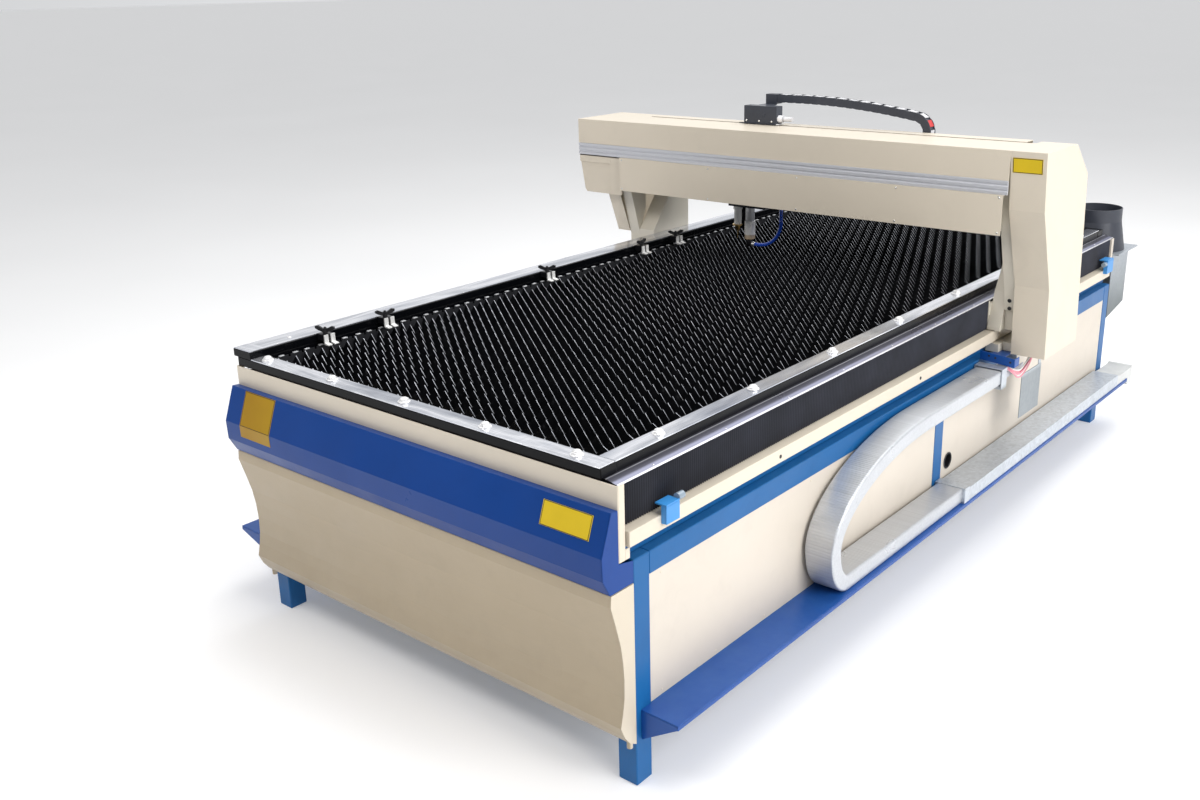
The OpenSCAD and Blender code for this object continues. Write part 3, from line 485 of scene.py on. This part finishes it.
# ---------------------------------------------------------------- materials on CAD nodes
USE = {
    "frame_posts": "blue_frame", "frame_rails": "blue_frame", "infill_panels": "cream_low", "front_band": "cream",
    "front_cover_upper": "blue_front_painted_shade", "front_cover_lower": "cream_front_painted_shade", "label_plates": "yellow", "table_frame": "black",
    "fence_bar": "black", "steel_strips": "steel_y", "strip_bolts": "bolt", "clamp_bases": "blackmatt", "clamp_prongs": "prong",
    "clamp_knob_1": "bplastic", "clamp_knob_2": "bplastic", "clamp_knob_3": "bplastic", "clamp_knob_4": "bplastic",
    "clamp_knob_5": "bplastic", "slats_odd": "slat_a", "slats_even": "slat_b", "slat_combs": "comb",
    "bed_tray": "dark", "bed_walls": "dark", "rail_ledges": "cream", "linear_rails": "ground", "rail_covers": "steel_cover",
    "bellows_front": "bellows", "bellows_rear": "bellows", "shelves": "blue", "conduit_lower": "conduit",
    "conduit_loop": "conduit", "conduit_upper": "conduit", "rear_duct": "galv", "duct_fitting": "gplastic",
    "limit_stops": "lblue", "limit_dampers": "damper", "exhaust_hood": "galv_hood", "exhaust_collar": "slate",
    "column_bodies": "white", "column_covers": "cream", "column_plate": "yellow", "guide_blocks": "darksteel",
    "beam_core": "white", "beam_cover": "cream", "groove_strip": "alu", "beam_fascia": "cream", "beam_rails": "ground",
    "foot_plate": "blue", "cable_plates": "galv_plate", "signal_cables": "pink", "carriage_plate": "darksteel",
    "carriage_box": "slate_box", "chain_upper": "bplastic", "chain_loop": "bplastic", "chain_lower": "bplastic",
    "head_bracket": "darksteel", "lens_tube": "lens", "nozzle": "brass", "sensor": "sensor", "gas_hose": "hose",
}


def paint_node(name, mat):
    me = N[name].data
    me.materials.clear()
    me.materials.append(mat)


for k, v in USE.items():
    paint_node(k, M[v])


def soften(node, width=0.0012, segs=2, angle=35):
    """Rolled or ground edges, so they catch the light. The mesh itself is left alone."""
    o = N[node]
    w = o.modifiers.new("weld", "WELD")
    w.merge_threshold = 0.00002
    b = o.modifiers.new("edge", "BEVEL")
    b.width = width
    b.segments = segs
    b.limit_method = "ANGLE"
    b.angle_limit = math.radians(angle)
    b.harden_normals = False
    b.use_clamp_overlap = True


for k in ("frame_posts", "frame_rails"):
    soften(k, 0.004, 3)
for k in ("rail_ledges", "table_frame", "fence_bar", "beam_core"):
    soften(k, 0.002, 2)
for k in ("front_band", "front_cover_upper", "front_cover_lower", "shelves", "column_bodies", "column_covers", "beam_cover", "beam_fascia",
          "clamp_bases", "carriage_box", "exhaust_hood", "rear_duct", "duct_fitting", "head_bracket", "carriage_plate", "limit_stops",
          "foot_plate", "cable_plates", "groove_strip"):
    soften(k, 0.0009, 2, 25 if k not in ("front_cover_upper", "front_cover_lower") else 60)


# ---------------------------------------------------------------- mesh helpers (photo-side millimetres in, row metres out)
def new_mesh(name, bm, mat, body=None, smooth=False):
    me = bpy.data.meshes.new(name)
    bm.normal_update()
    bm.to_mesh(me)
    bm.free()
    me.materials.append(mat)
    if smooth:
        for p in me.polygons:
            p.use_smooth = True
    o = bpy.data.objects.new(name, me)
    bpy.context.collection.objects.link(o)
    if body:
        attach(o, body)
    return o


def add_prism(bm, ring_a, ring_b, caps=True):
    """Joins two rings of points, given in order, and caps them."""
    va = [bm.verts.new(p) for p in ring_a]
    vb = [bm.verts.new(p) for p in ring_b]
    n = len(va)
    for i in range(n):
        bm.faces.new((va[i], va[(i + 1) % n], vb[(i + 1) % n], vb[i]))
    if caps:
        bm.faces.new(list(reversed(va)))
        bm.faces.new(vb)
    return va, vb


def rbox(bm, x0, x1, y0, y1, z0, z1, r=1.0, segs=2):
    """A box with rounded edges, in photo-side millimetres."""
    tmp = bmesh.new()
    bmesh.ops.create_cube(tmp, size=1.0)
    for v in tmp.verts:
        v.co = Vector(((x0 + x1) / 2 + v.co.x * (x1 - x0), (y0 + y1) / 2 + v.co.y * (y1 - y0), (z0 + z1) / 2 + v.co.z * (z1 - z0)))
    if r > 0:
        bmesh.ops.bevel(tmp, geom=list(tmp.edges), offset=r, segments=segs, affect="EDGES", profile=0.5)
    vm = {}
    for v in tmp.verts:
        vm[v] = bm.verts.new(T(*v.co))
    for f in tmp.faces:
        bm.faces.new([vm[v] for v in f.verts])
    tmp.free()


def lathe(bm, centre, axis, prof, segs=32, close=True):
    """Turned piece: prof is [(offset along axis, radius)] in mm round a centre point."""
    c = Vector(centre)
    ax = {"X": Vector((1, 0, 0)), "Y": Vector((0, 1, 0)), "Z": Vector((0, 0, 1))}[axis]
    u = Vector((0, 1, 0)) if axis == "X" else Vector((1, 0, 0))
    w = ax.cross(u)
    rings = []
    for off, r in prof:
        ring = []
        for k in range(segs):
            a = 2 * math.pi * k / segs
            p = c + ax * off + (u * math.cos(a) + w * math.sin(a)) * r
            ring.append(bm.verts.new(T(*p)))
        rings.append(ring)
    for ra, rb in zip(rings, rings[1:]):
        for k in range(segs):
            bm.faces.new((ra[k], ra[(k + 1) % segs], rb[(k + 1) % segs], rb[k]))
    if close:
        bm.faces.new(list(reversed(rings[0])))
        bm.faces.new(rings[-1])
    return rings


def hexhead(bm, centre, axis, r, h, recess=None):
    lathe(bm, centre, axis, [(0, r), (h * 0.8, r), (h, r * 0.88)], segs=6)


def tube(bm, pts, r, segs=12, closed_ends=True):
    """Round tube along points in mm."""
    P = [Vector(p) for p in pts]
    n = len(P)
    tang = []
    for i in range(n):
        a = P[max(i - 1, 0)]
        b = P[min(i + 1, n - 1)]
        tang.append((b - a).normalized())
    ref = Vector((0, 0, 1)) if abs(tang[0].z) < 0.9 else Vector((0, 1, 0))
    nrm = (ref - tang[0] * ref.dot(tang[0])).normalized()
    rings = []
    for i in range(n):
        nrm = (nrm - tang[i] * nrm.dot(tang[i])).normalized()
        bi = tang[i].cross(nrm)
        rings.append([bm.verts.new(T(*(P[i] + (nrm * math.cos(2 * math.pi * k / segs) + bi * math.sin(2 * math.pi * k / segs)) * r)))
                      for k in range(segs)])
    for ra, rb in zip(rings, rings[1:]):
        for k in range(segs):
            bm.faces.new((ra[k], ra[(k + 1) % segs], rb[(k + 1) % segs], rb[k]))
    if closed_ends:
        bm.faces.new(list(reversed(rings[0])))
        bm.faces.new(rings[-1])


def catmull(pts, per=8):
    P = [Vector(p) for p in pts]
    P = [P[0] * 2 - P[1]] + P + [P[-1] * 2 - P[-2]]
    out = []
    for i in range(1, len(P) - 2):
        for k in range(per):
            t = k / per
            a, b, c, d = P[i - 1], P[i], P[i + 1], P[i + 2]
            out.append(0.5 * ((2 * b) + (c - a) * t + (2 * a - 5 * b + 4 * c - d) * t * t + (3 * b - a - 3 * c + d) * t ** 3))
    out.append(P[-2])
    return out


def copy_node(node, name):
    """A free mesh with the node's own shape; the node itself is hidden."""
    me = N[node].data.copy()
    o = bpy.data.objects.new(name, me)
    bpy.context.collection.objects.link(o)
    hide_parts(node)
    return o


# ---------------------------------------------------------------- bellows: pleated skins from the table ends to the gantry
ARM0, ARM1 = GY + 14, GY + 248


def bellows(name, node, y0, y1):
    bm = bmesh.new()
    n = math.ceil((y1 - y0) / 9.0)
    s = (y1 - y0) / n
    for side in (0, 1):
        X = (lambda x: x) if side == 0 else (lambda x: -W - x)
        zs = [737.5, 739, 742, 842, 845, 846.5]
        ins = [2.0, 0.6, 0.0, 0.0, 0.6, 2.0]
        cols = []
        for i in range(4 * n + 1):
            y = y0 + i * s / 4
            ph = i % 4
            x = {0: -33.5, 1: -26.0, 2: -20.2, 3: -26.0}[ph]
            col = []
            for z, k in zip(zs, ins):
                col.append(bm.verts.new(T(X(x - k * 0.6), y, z)))
            cols.append(col)
        for a, b in zip(cols, cols[1:]):
            for k in range(len(zs) - 1):
                f = (a[k], b[k], b[k + 1], a[k + 1])
                bm.faces.new(f if side == 0 else tuple(reversed(f)))
    o = new_mesh(name, bm, M["bellows"])
    so = o.modifiers.new("thick", "SOLIDIFY")
    so.thickness = 0.0011
    so.offset = -1
    bpy.context.view_layer.objects.active = o
    dg = bpy.context.evaluated_depsgraph_get()
    me = bpy.data.meshes.new_from_object(o.evaluated_get(dg))
    o.modifiers.clear()
    o.data = me
    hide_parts(node)
    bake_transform(o)
    return o


bellows("bellows_skin_front", "bellows_front", -26.6, ARM0 - 6.4)
bellows("bellows_skin_rear", "bellows_rear", ARM1 + 6.4, L + 15.6)

# ---------------------------------------------------------------- conduit: ribbed metal sleeve
CT = 54.0
CX0, CX1 = 8.0, 106.0
BEND_Y, BEND_Z, BEND_A, UP_A, UP_TOP = 785.0, 370.0, 105.0, 615.0, 638.0
SPLIT = 144.4
CONN0 = GY - 141


def on_ellipse(cy, cz, a, b, deg):
    """Centre point of the sleeve and the outward normal, for a point on its outer contour."""
    t = math.radians(deg)
    ny, nz = math.cos(t) / a, math.sin(t) / b
    n = math.hypot(ny, nz)
    ny, nz = ny / n, nz / n
    return (cy + a * math.cos(t) - CT / 2 * ny, cz + b * math.sin(t) - CT / 2 * nz, ny, nz)


def even(pts, step):
    """Points spaced evenly along a finely sampled line."""
    d = [0.0]
    for p, q in zip(pts, pts[1:]):
        d.append(d[-1] + math.hypot(q[0] - p[0], q[1] - p[1]))
    n = max(3, int(d[-1] / step / 3) * 3)
    out, k = [], 0
    for i in range(n + 1):
        want = d[-1] * i / n
        while k < len(d) - 2 and d[k + 1] < want:
            k += 1
        f = 0.0 if d[k + 1] == d[k] else (want - d[k]) / (d[k + 1] - d[k])
        v = [p + (q - p) * f for p, q in zip(pts[k], pts[k + 1])]
        h = math.hypot(v[2], v[3])
        out.append((v[0], v[1], v[2] / h, v[3] / h))
    return out


def conduit_path(kind):
    """Centre points and outward normals (y, z) along the sleeve."""
    zb = SH + 0.3
    if kind == "lower":
        return even([(BEND_Y + BEND_A + 0.3, zb + CT / 2, 0, -1), (L / 2 - 12, zb + CT / 2, 0, -1)], 2.6)
    if kind == "loop":
        a = [on_ellipse(BEND_Y + BEND_A, BEND_Z, BEND_A, BEND_Z - zb, 270 - 90 * i / 200) for i in range(201)]
        b = [on_ellipse(BEND_Y + UP_A, BEND_Z, UP_A, UP_TOP - BEND_Z, 180 - (180 - SPLIT) * i / 200) for i in range(1, 201)]
        return even(a + b, 2.6)
    a = [on_ellipse(BEND_Y + UP_A, BEND_Z, UP_A, UP_TOP - BEND_Z, SPLIT - 0.06 - (SPLIT - 0.06 - 90) * i / 300) for i in range(301)]
    return even(a + [(CONN0 - 0.6, UP_TOP - CT / 2, 0, 1)], 2.6)


def sleeve(name, node, kind, mat, rib=0.5):
    bm = bmesh.new()
    w, t, r = (CX1 - CX0) / 2 - 0.6, CT / 2 - 0.6, 7.0
    xc = (CX0 + CX1) / 2
    sect = []
    for cx_, cy_, a0 in ((w - r, t - r, 0), (-(w - r), t - r, 90), (-(w - r), -(t - r), 180), (w - r, -(t - r), 270)):
        for k in range(5):
            a = math.radians(a0 + 90 * k / 4)
            sect.append((cx_, cy_, math.cos(a) , math.sin(a), r))
    rings = []
    path = conduit_path(kind)
    for i, (y, z, ny, nz) in enumerate(path):
        bulge = rib * (1 if i % 3 == 1 else 0) - (0.35 if i % 3 == 0 else 0)
        ring = []
        for cx_, cy_, ca, sa, rr in sect:
            px = cx_ + ca * rr
            pn = cy_ + sa * (rr + bulge)
            ring.append(bm.verts.new(T(xc + px, y + ny * pn, z + nz * pn)))
        rings.append(ring)
    m = len(sect)
    for ra, rb in zip(rings, rings[1:]):
        for k in range(m):
            bm.faces.new((ra[k], ra[(k + 1) % m], rb[(k + 1) % m], rb[k]))
    bm.faces.new(list(reversed(rings[0])))
    bm.faces.new(rings[-1])
    bmesh.ops.recalc_face_normals(bm, faces=bm.faces)
    o = new_mesh(name, bm, mat, smooth=False)
    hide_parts(node)
    return o


lo = sleeve("conduit_sleeve_lower", "conduit_lower", "lower", M["conduit"], 0.4)
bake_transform(lo)
bend = sleeve("conduit_sleeve_loop", "conduit_loop", "loop", M["conduit"], 0.5)
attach(bend, "conduit_bend")
up = sleeve("conduit_sleeve_upper", "conduit_upper", "upper", M["conduit"], 0.4)
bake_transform(up)

# ---------------------------------------------------------------- cable chain behind the beam
CHX, CHZ, CHR, CHT = -445.0, 1412.0, 76.0, 34.0
CHA = 80.6
CHY0, CHY1 = BY + 307, BY + 351
CUX0, CUX1 = CX + 49.5, CHX + CHR * math.cos(math.radians(CHA)) - 0.3
CHS = CX + 151.5
CHTOP = CHZ + CHR * math.sin(math.radians(CHA)) + 0.000157 * (CUX1 + 0.3 - CHS) ** 2


def chain_path(kind):
    """Centre points and outward normals (x, z) along the chain."""
    if kind == "upper":
        out = []
        for i in range(121):
            x = CUX0 + 1 + (CUX1 - CUX0 - 1) * i / 120
            u = max(x - CHS, 0)
            m = -0.000314 * u
            h = math.hypot(1, m)
            out.append((x + CHT / 2 * m / h, CHTOP - 0.000157 * u * u - CHT / 2 / h, -m / h, 1 / h))
        return even(out, 6.3)
    if kind == "loop":
        rm = CHR - CHT / 2
        return even([(CHX + rm * math.cos(math.radians(CHA - (CHA + 90) * i / 120)), CHZ + rm * math.sin(math.radians(CHA - (CHA + 90) * i / 120)),
                      math.cos(math.radians(CHA - (CHA + 90) * i / 120)), math.sin(math.radians(CHA - (CHA + 90) * i / 120))) for i in range(121)], 5.0)
    return even([(CHX - 0.3, CHZ - CHR + CHT / 2, 0, -1), (-800, CHZ - CHR + CHT / 2, 0, -1)], 6.3)


def chain(name, node, kind):
    """Closed side plates with small steps at every link, a floor between them and cross bars on the outer side."""
    bm, bar, red = bmesh.new(), bmesh.new(), bmesh.new()
    path = chain_path(kind)

    def P(p, v, y):
        return T(p[0] + p[2] * v, y, p[1] + p[3] * v)
    h = CHT / 2 - 0.8
    for ya, yb in ((CHY0 + 0.8, CHY0 + 4.8), (CHY1 - 4.8, CHY1 - 0.8), (CHY0 + 4.8, CHY1 - 4.8)):
        web = yb - ya > 10
        rings = []
        for i, p in enumerate(path):
            k = 1.3 if i % 6 in (0, 1) else 0.0
            hi, lo_ = (h - 5.0, h - 7.5) if web else (h - k, -h + k)
            dy = 0.0 if web else (0.5 if (i // 6) % 2 else 0.0)
            a0, b0 = (ya + dy, yb) if ya < CHY0 + 2 else ((ya, yb - dy) if not web else (ya, yb))
            rings.append([bm.verts.new(P(p, lo_, a0)), bm.verts.new(P(p, lo_, b0)), bm.verts.new(P(p, hi, b0)), bm.verts.new(P(p, hi, a0))])
        for ra, rb in zip(rings, rings[1:]):
            for k in range(4):
                bm.faces.new((ra[k], ra[(k + 1) % 4], rb[(k + 1) % 4], rb[k]))
        bm.faces.new(list(reversed(rings[0])))
        bm.faces.new(rings[-1])
    step, run = (6, 4) if kind == "loop" else (8, 5)
    for j, i in enumerate(range(2, len(path) - run, step)):
        p, q = path[i], path[i + run]
        t = red if kind == "loop" and j == 1 else bar
        ring_a = [P(p, h - 3.0, CHY0 + 6), P(q, h - 3.0, CHY0 + 6), P(q, h - 0.2, CHY0 + 6.6), P(p, h - 0.2, CHY0 + 6.6)]
        ring_b = [P(p, h - 3.0, CHY1 - 6), P(q, h - 3.0, CHY1 - 6), P(q, h - 0.2, CHY1 - 6.6), P(p, h - 0.2, CHY1 - 6.6)]
        add_prism(t, ring_a, ring_b)
    for b in (bm, bar, red):
        bmesh.ops.recalc_face_normals(b, faces=b.faces)
    out = [new_mesh(name, bm, M["slate"]), new_mesh(name + "_bars", bar, M["lplastic"])]
    if len(red.verts):
        out.append(new_mesh(name + "_red_bars", red, M["red"]))
    else:
        red.free()
    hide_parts(node)
    return out


for o in chain("chain_links_upper", "chain_upper", "upper"):
    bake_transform(o)
for o in chain("chain_links_bend", "chain_loop", "loop"):
    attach(o, "chain_bend")
for o in chain("chain_links_lower", "chain_lower", "lower"):
    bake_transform(o)

# ---------------------------------------------------------------- gas hose with fittings
TX, TY = CX - 92.5, BY + 239


def hose():
    pts = [(TX + 75.0, TY, 906), (TX + 92, TY, 906)]
    for k in range(0, 13):
        t = math.radians(-90 + 90 * k / 12)
        pts.append((TX + 110 + 106 * math.cos(t), TY, 1012 + 106 * math.sin(t)))
    pts += [(TX + 216, TY, 1050), (TX + 216, TY, 1095), (TX + 216, TY, 1139.6)]
    bm = bmesh.new()
    tube(bm, catmull(pts, 4), 7.4, 18)
    o = new_mesh("gas_hose_tube", bm, M["hose"], smooth=True)
    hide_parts("gas_hose")
    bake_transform(o)
    fit = bmesh.new()
    lathe(fit, (TX + 75, TY, 906), "X", [(0, 10.5), (5, 10.5), (6, 9.4), (13, 9.0), (14, 8.2)], 24)
    f = new_mesh("gas_hose_fitting", fit, M["zinc"], "head", smooth=False)


hose()

# ---------------------------------------------------------------- bolts with washers and domed heads
def dome(bm, x, y, z, rw, rh, h):
    lathe(bm, (x, y, z), "Z", [(0.05, rw - 0.5), (0.6, rw), (2.2, rw), (2.9, rw - 0.8), (3.0, rh + 0.2)], 32)
    lathe(bm, (x, y, z + 3.0), "Z", [(0, rh), (h * 0.40, rh), (h * 0.48, rh * 0.94)], 6)
    prof = [(h * 0.45, rh * 0.84)] + [(h * 0.48 + (h * 0.5) * math.sin(math.radians(t)), rh * 0.84 * math.cos(math.radians(t))) for t in (10, 25, 40, 55, 70, 84)]
    lathe(bm, (x, y, z + 3.0), "Z", prof, 24)


def bolts():
    bm = bmesh.new()
    for i in range(5):
        dome(bm, -W + 121 + 320 * i, -18, 893, 18.0, 13.8, 11.5)
    for y in (213, 642, 1076, 1510, 1948, 2380, 2810, 3180):
        dome(bm, -86, y, 893, 18.0, 13.8, 11.5)
    for y in (126, L - 90):
        lathe(bm, (-W + 32, y, 916.5), "Z", [(0, 6.8), (1.4, 6.6), (2.4, 5.2), (2.8, 2.0)], 20)
    bmesh.ops.recalc_face_normals(bm, faces=bm.faces)
    o = new_mesh("strip_bolts_domed", bm, M["bolt"], "base")
    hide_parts("strip_bolts")
    bm = bmesh.new()
    for y in (640, 1496, 2700):
        for sx in (0, 1):
            X = 10 if sx == 0 else -W - 10
            k = 1 if sx == 0 else -1
            lathe(bm, (X, y, 714), "X", [(0, 5.8), (k * 1.0, 5.6), (k * 1.8, 4.4), (k * 2.0, 1.5)], 18)
    bmesh.ops.recalc_face_normals(bm, faces=bm.faces)
    o = new_mesh("ledge_screws", bm, M["bplastic"], "base")


bolts()


# ---------------------------------------------------------------- cables at the gantry foot
def cables():
    C1 = GY - 98
    k = 0
    for x, z, mt, dz in ((80, 627, "pink", 0), (87, 627, "wplastic", -6), (94, 628, "pink", -11), (80, 634.5, "pink", 9), (87, 634.5, "wplastic", 15), (94, 635, "pink", 4)):
        bm = bmesh.new()
        ox = (x - 87) * 0.4
        pts = [(x, C1 + 3, z), (104 + ox * 0.3, C1 + 18, z + 0.5), (118 + ox, C1 + 38, 616 + dz * 0.6), (122 + ox, GY - 34, 602 + dz), (122 + ox, GY - 2, 598 + dz),
               (121 + ox, GY + 34, 607 + dz), (119 + ox, GY + 78, 624 + dz * 0.8), (116 + ox, GY + 112, 646 + dz * 0.5), (110 + ox, GY + 128, 676)]
        tube(bm, catmull(pts, 6), 3.0, 12)
        o = new_mesh("signal_cable_%d" % k, bm, M[mt], "gantry", smooth=True)
        if k == 0:
            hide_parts("signal_cables")
        k += 1


cables()


# ---------------------------------------------------------------- rims, screws, seams and marks
def sheet_patch(bm, pts, out, t=0.25):
    """A thin plate from four corners (mm) raised along a direction."""
    n = Vector(out) * t
    add_prism(bm, [T(*p) for p in pts], [T(*(Vector(p) + n)) for p in pts])


def frame_patch(bm, c, out, w, t=0.3):
    """A thin rim just inside the four corners of a plate."""
    P = [Vector(p) for p in c]
    mid = sum(P, Vector()) / 4
    e1, e2 = (P[1] - P[0]), (P[3] - P[0])
    u, v = e1.normalized(), e2.normalized()
    a, b = e1.length, e2.length
    for (s0, s1, t0, t1) in ((0, a, 0, w), (0, a, b - w, b), (0, w, w, b - w), (a - w, a, w, b - w)):
        sheet_patch(bm, [P[0] + u * s0 + v * t0, P[0] + u * s1 + v * t0, P[0] + u * s1 + v * t1, P[0] + u * s0 + v * t1], out, t)


def details():
    rim = bmesh.new()
    frame_patch(rim, [(-208, -85.2, 785.6), (-51, -85.2, 785.6), (-51, -106.2, 727.4), (-208, -106.2, 727.4)], (0, -0.941, 0.339), 1.6, 0.25)
    frame_patch(rim, [(-W + 79, -80.2, 800.0), (-W + 229, -80.2, 800.0), (-W + 229, -116.8, 698.0), (-W + 79, -116.8, 698.0)], (0, -0.941, 0.339), 1.6, 0.15)
    bmesh.ops.recalc_face_normals(rim, faces=rim.faces)
    o = new_mesh("label_rims", rim, M["bplastic"], "base")
    rim = bmesh.new()
    frame_patch(rim, [(83, BY + 1.05, BZ - 23.5), (185, BY + 1.05, BZ - 23.5), (185, BY + 5.9, BZ - 73), (83, BY + 5.9, BZ - 73)], (0, -0.995, -0.097), 2.0, 0.3)
    bmesh.ops.recalc_face_normals(rim, faces=rim.faces)
    o = new_mesh("column_plate_rim", rim, M["bplastic"], "gantry")

    # rubber sleeve in the cable hole of the side panel
    gr = bmesh.new()
    c0 = (-2.0, L / 2 + 87, SH + 104)
    lathe(gr, c0, "X", [(0.0, 27.4), (2.0, 31.0), (3.0, 29.6), (3.0, 26.0), (0.5, 24.6), (-26.0, 24.0), (-58.0, 23.2), (-58.0, 25.0), (-20.0, 26.6), (0.0, 27.3)], 36, close=False)
    lathe(gr, (-62.0, L / 2 + 87, SH + 104), "X", [(0.0, 26.0), (3.0, 26.0), (3.4, 18.0)], 36)
    bmesh.ops.recalc_face_normals(gr, faces=gr.faces)
    o = new_mesh("cable_hole_sleeve", gr, M["bplastic"], "base")

    # pale ticks on the left slat support, one beside every slat
    tk = bmesh.new()
    for i in range(int((L - 100) // 50)):
        y = 34 + i * 50
        y0 = y + 12 + 3 * math.sin(i * 2.3)
        rbox(tk, -W + 80.8, -W + 89.5, y0, y0 + 17, 880.2, 883.0, 0.4, 1)
    o = new_mesh("comb_ticks", tk, M["tick"], "base")

    # small screws on the carriage box and the beam
    sc = bmesh.new()
    for x in (-31.5, 29.5, 90.5):
        lathe(sc, (CX + x, BY + 204, 1430), "Y", [(0, 4.2), (-0.8, 4.0), (-1.4, 2.6)], 16)
    bmesh.ops.recalc_face_normals(sc, faces=sc.faces)
    o = new_mesh("carriage_screws", sc, M["zinc"], "carriage")
    sc = bmesh.new()
    for x in (-W - 78, -1180, -760, -340, 50):
        for z in (BZ - 162, BZ - 284):
            lathe(sc, (x, BY - 11, z), "Y", [(0, 3.6), (-0.7, 3.4), (-1.2, 2.0)], 14)
    bmesh.ops.recalc_face_normals(sc, faces=sc.faces)
    o = new_mesh("fascia_screws", sc, M["zinc"], "gantry")

    # dark screws on the column front, the foot plate and the seam beside the cover
    sc = bmesh.new()
    for z in (825, 855):
        y = GY + 24 - 16 * (z - 817) / 87.0
        lathe(sc, (52, y + 1.0, z), "Y", [(0, 7.6), (-2.4, 7.4), (-3.4, 5.6), (-3.8, 2.0)], 18)
    for x, z in ((38, 672), (62, 668), (118, 661)):
        lathe(sc, (x, GY - 97, z), "Y", [(0, 4.2), (-0.6, 4.2), (-1.0, 3.2)], 16)
    bmesh.ops.recalc_face_normals(sc, faces=sc.faces)
    o = new_mesh("column_screws", sc, M["bplastic"], "gantry")
    sc = bmesh.new()
    for x, y, z in ((68, BY + 67, 1153), (69, GY - 2 + 0.0, 950)):
        lathe(sc, (x, y + 1.2, z), "Y", [(0, 3.4), (-2.0, 3.2), (-2.6, 1.8)], 14)
    for x, z in ((50, 1253), (46, 1258)):
        lathe(sc, (x, BY - 11, z), "Y", [(0, 2.8), (-0.7, 2.6), (-1.2, 1.6)], 14)
    bmesh.ops.recalc_face_normals(sc, faces=sc.faces)
    o = new_mesh("seam_screws", sc, M["zinc"], "gantry")

    # small screws along the rail cover and along the fence bar
    sc = bmesh.new()
    for y in range(120, int(L) - 60, 310):
        lathe(sc, (-30, y, 852.6), "Z", [(0.0, 3.0), (1.0, 2.8), (1.5, 1.6)], 12)
    for y in range(60, int(L) - 20, 400):
        lathe(sc, (-W + 60, y, 916.5), "Z", [(0, 3.0), (0.6, 2.8), (0.9, 1.4)], 12)
    bmesh.ops.recalc_face_normals(sc, faces=sc.faces)
    o = new_mesh("cover_screws", sc, M["zinc"], "base")

    # screws on the infill panels
    sc = bmesh.new()
    for y in list(range(110, int(L / 2) - 60, 240)) + list(range(int(L / 2) + 90, int(L) - 90, 240)):
        for z in (SH + 14, 572):
            lathe(sc, (-2.0, y, z), "X", [(0, 3.2), (0.6, 3.0), (1.0, 1.8)], 12)
    bmesh.ops.recalc_face_normals(sc, faces=sc.faces)
    o = new_mesh("panel_screws", sc, M["cream"], "base")


details()

# ---------------------------------------------------------------- floor and light
def studio():
    bm = bmesh.new()
    s = 150
    v = [bm.verts.new((x, y, 0)) for x, y in ((-s, -s), (s, -s), (s, s), (-s, s))]
    bm.faces.new(v)
    m = Mat("floor", rough=0.8, spec=0.2)
    m.b.inputs["Emission Color"].default_value = (1, 1, 1, 1)
    m.b.inputs["Emission Strength"].default_value = 0.20
    c = m.ramp(m.noise(0.6, 3, 0.5), [(0.3, (0.82, 0.82, 0.82)), (0.7, (0.85, 0.85, 0.85))])
    m.color(c)
    me = bpy.data.meshes.new("floor")
    bm.to_mesh(me)
    bm.free()
    me.materials.append(m.m)
    o = bpy.data.objects.new("floor", me)
    bpy.context.collection.objects.link(o)
    w = bpy.data.worlds.new("studio")
    bpy.context.scene.world = w
    w.use_nodes = True
    bg = w.node_tree.nodes["Background"]
    t = w.node_tree
    tc = t.nodes.new("ShaderNodeTexCoord")
    sp = t.nodes.new("ShaderNodeSeparateXYZ")
    rp = t.nodes.new("ShaderNodeValToRGB")
    mr = t.nodes.new("ShaderNodeMapRange")
    mr.inputs["From Min"].default_value, mr.inputs["From Max"].default_value = -1.0, 1.0
    t.links.new(tc.outputs["Generated"], sp.inputs[0])
    t.links.new(sp.outputs["Y"], mr.inputs["Value"])
    t.links.new(mr.outputs["Result"], rp.inputs["Fac"])
    els = rp.color_ramp.elements
    els.new(0.5)
    for e, (pos, c) in zip(els, ((0.0, (0.16, 0.165, 0.18)), (0.45, (0.46, 0.465, 0.47)), (1.0, (0.92, 0.93, 0.95)))):
        e.position = pos
        e.color = (c[0], c[1], c[2], 1)
    t.links.new(rp.outputs["Color"], bg.inputs["Color"])
    bg.inputs["Strength"].default_value = 1.0

    def area(name, loc, target, size, power, color=(1, 1, 1), spread=180):
        ld = bpy.data.lights.new(name, "AREA")
        ld.spread = math.radians(spread)
        ld.shape = "RECTANGLE"
        ld.size, ld.size_y = size
        ld.energy = power
        ld.color = color
        lo_ = bpy.data.objects.new(name, ld)
        bpy.context.collection.objects.link(lo_)
        lo_.location = loc
        d = Vector(target) - Vector(loc)
        lo_.rotation_euler = d.to_track_quat("-Z", "Y").to_euler()
    area("key", (6.5, -1.0, 4.2), (0.2, 0.2, 0.7), (4, 5), 388, (1, 0.99, 0.98))
    area("front", (-0.6, -3.6, 3.7), (-0.1, 0.2, 1.42), (3, 1.2), 72, (1, 0.97, 0.95))
    area("top", (0.3, 2.0, 6.5), (0, 0.6, 0.7), (5, 6), 280)


studio()
try:
    bpy.context.scene.view_settings.view_transform = "Standard"
except Exception:
    pass
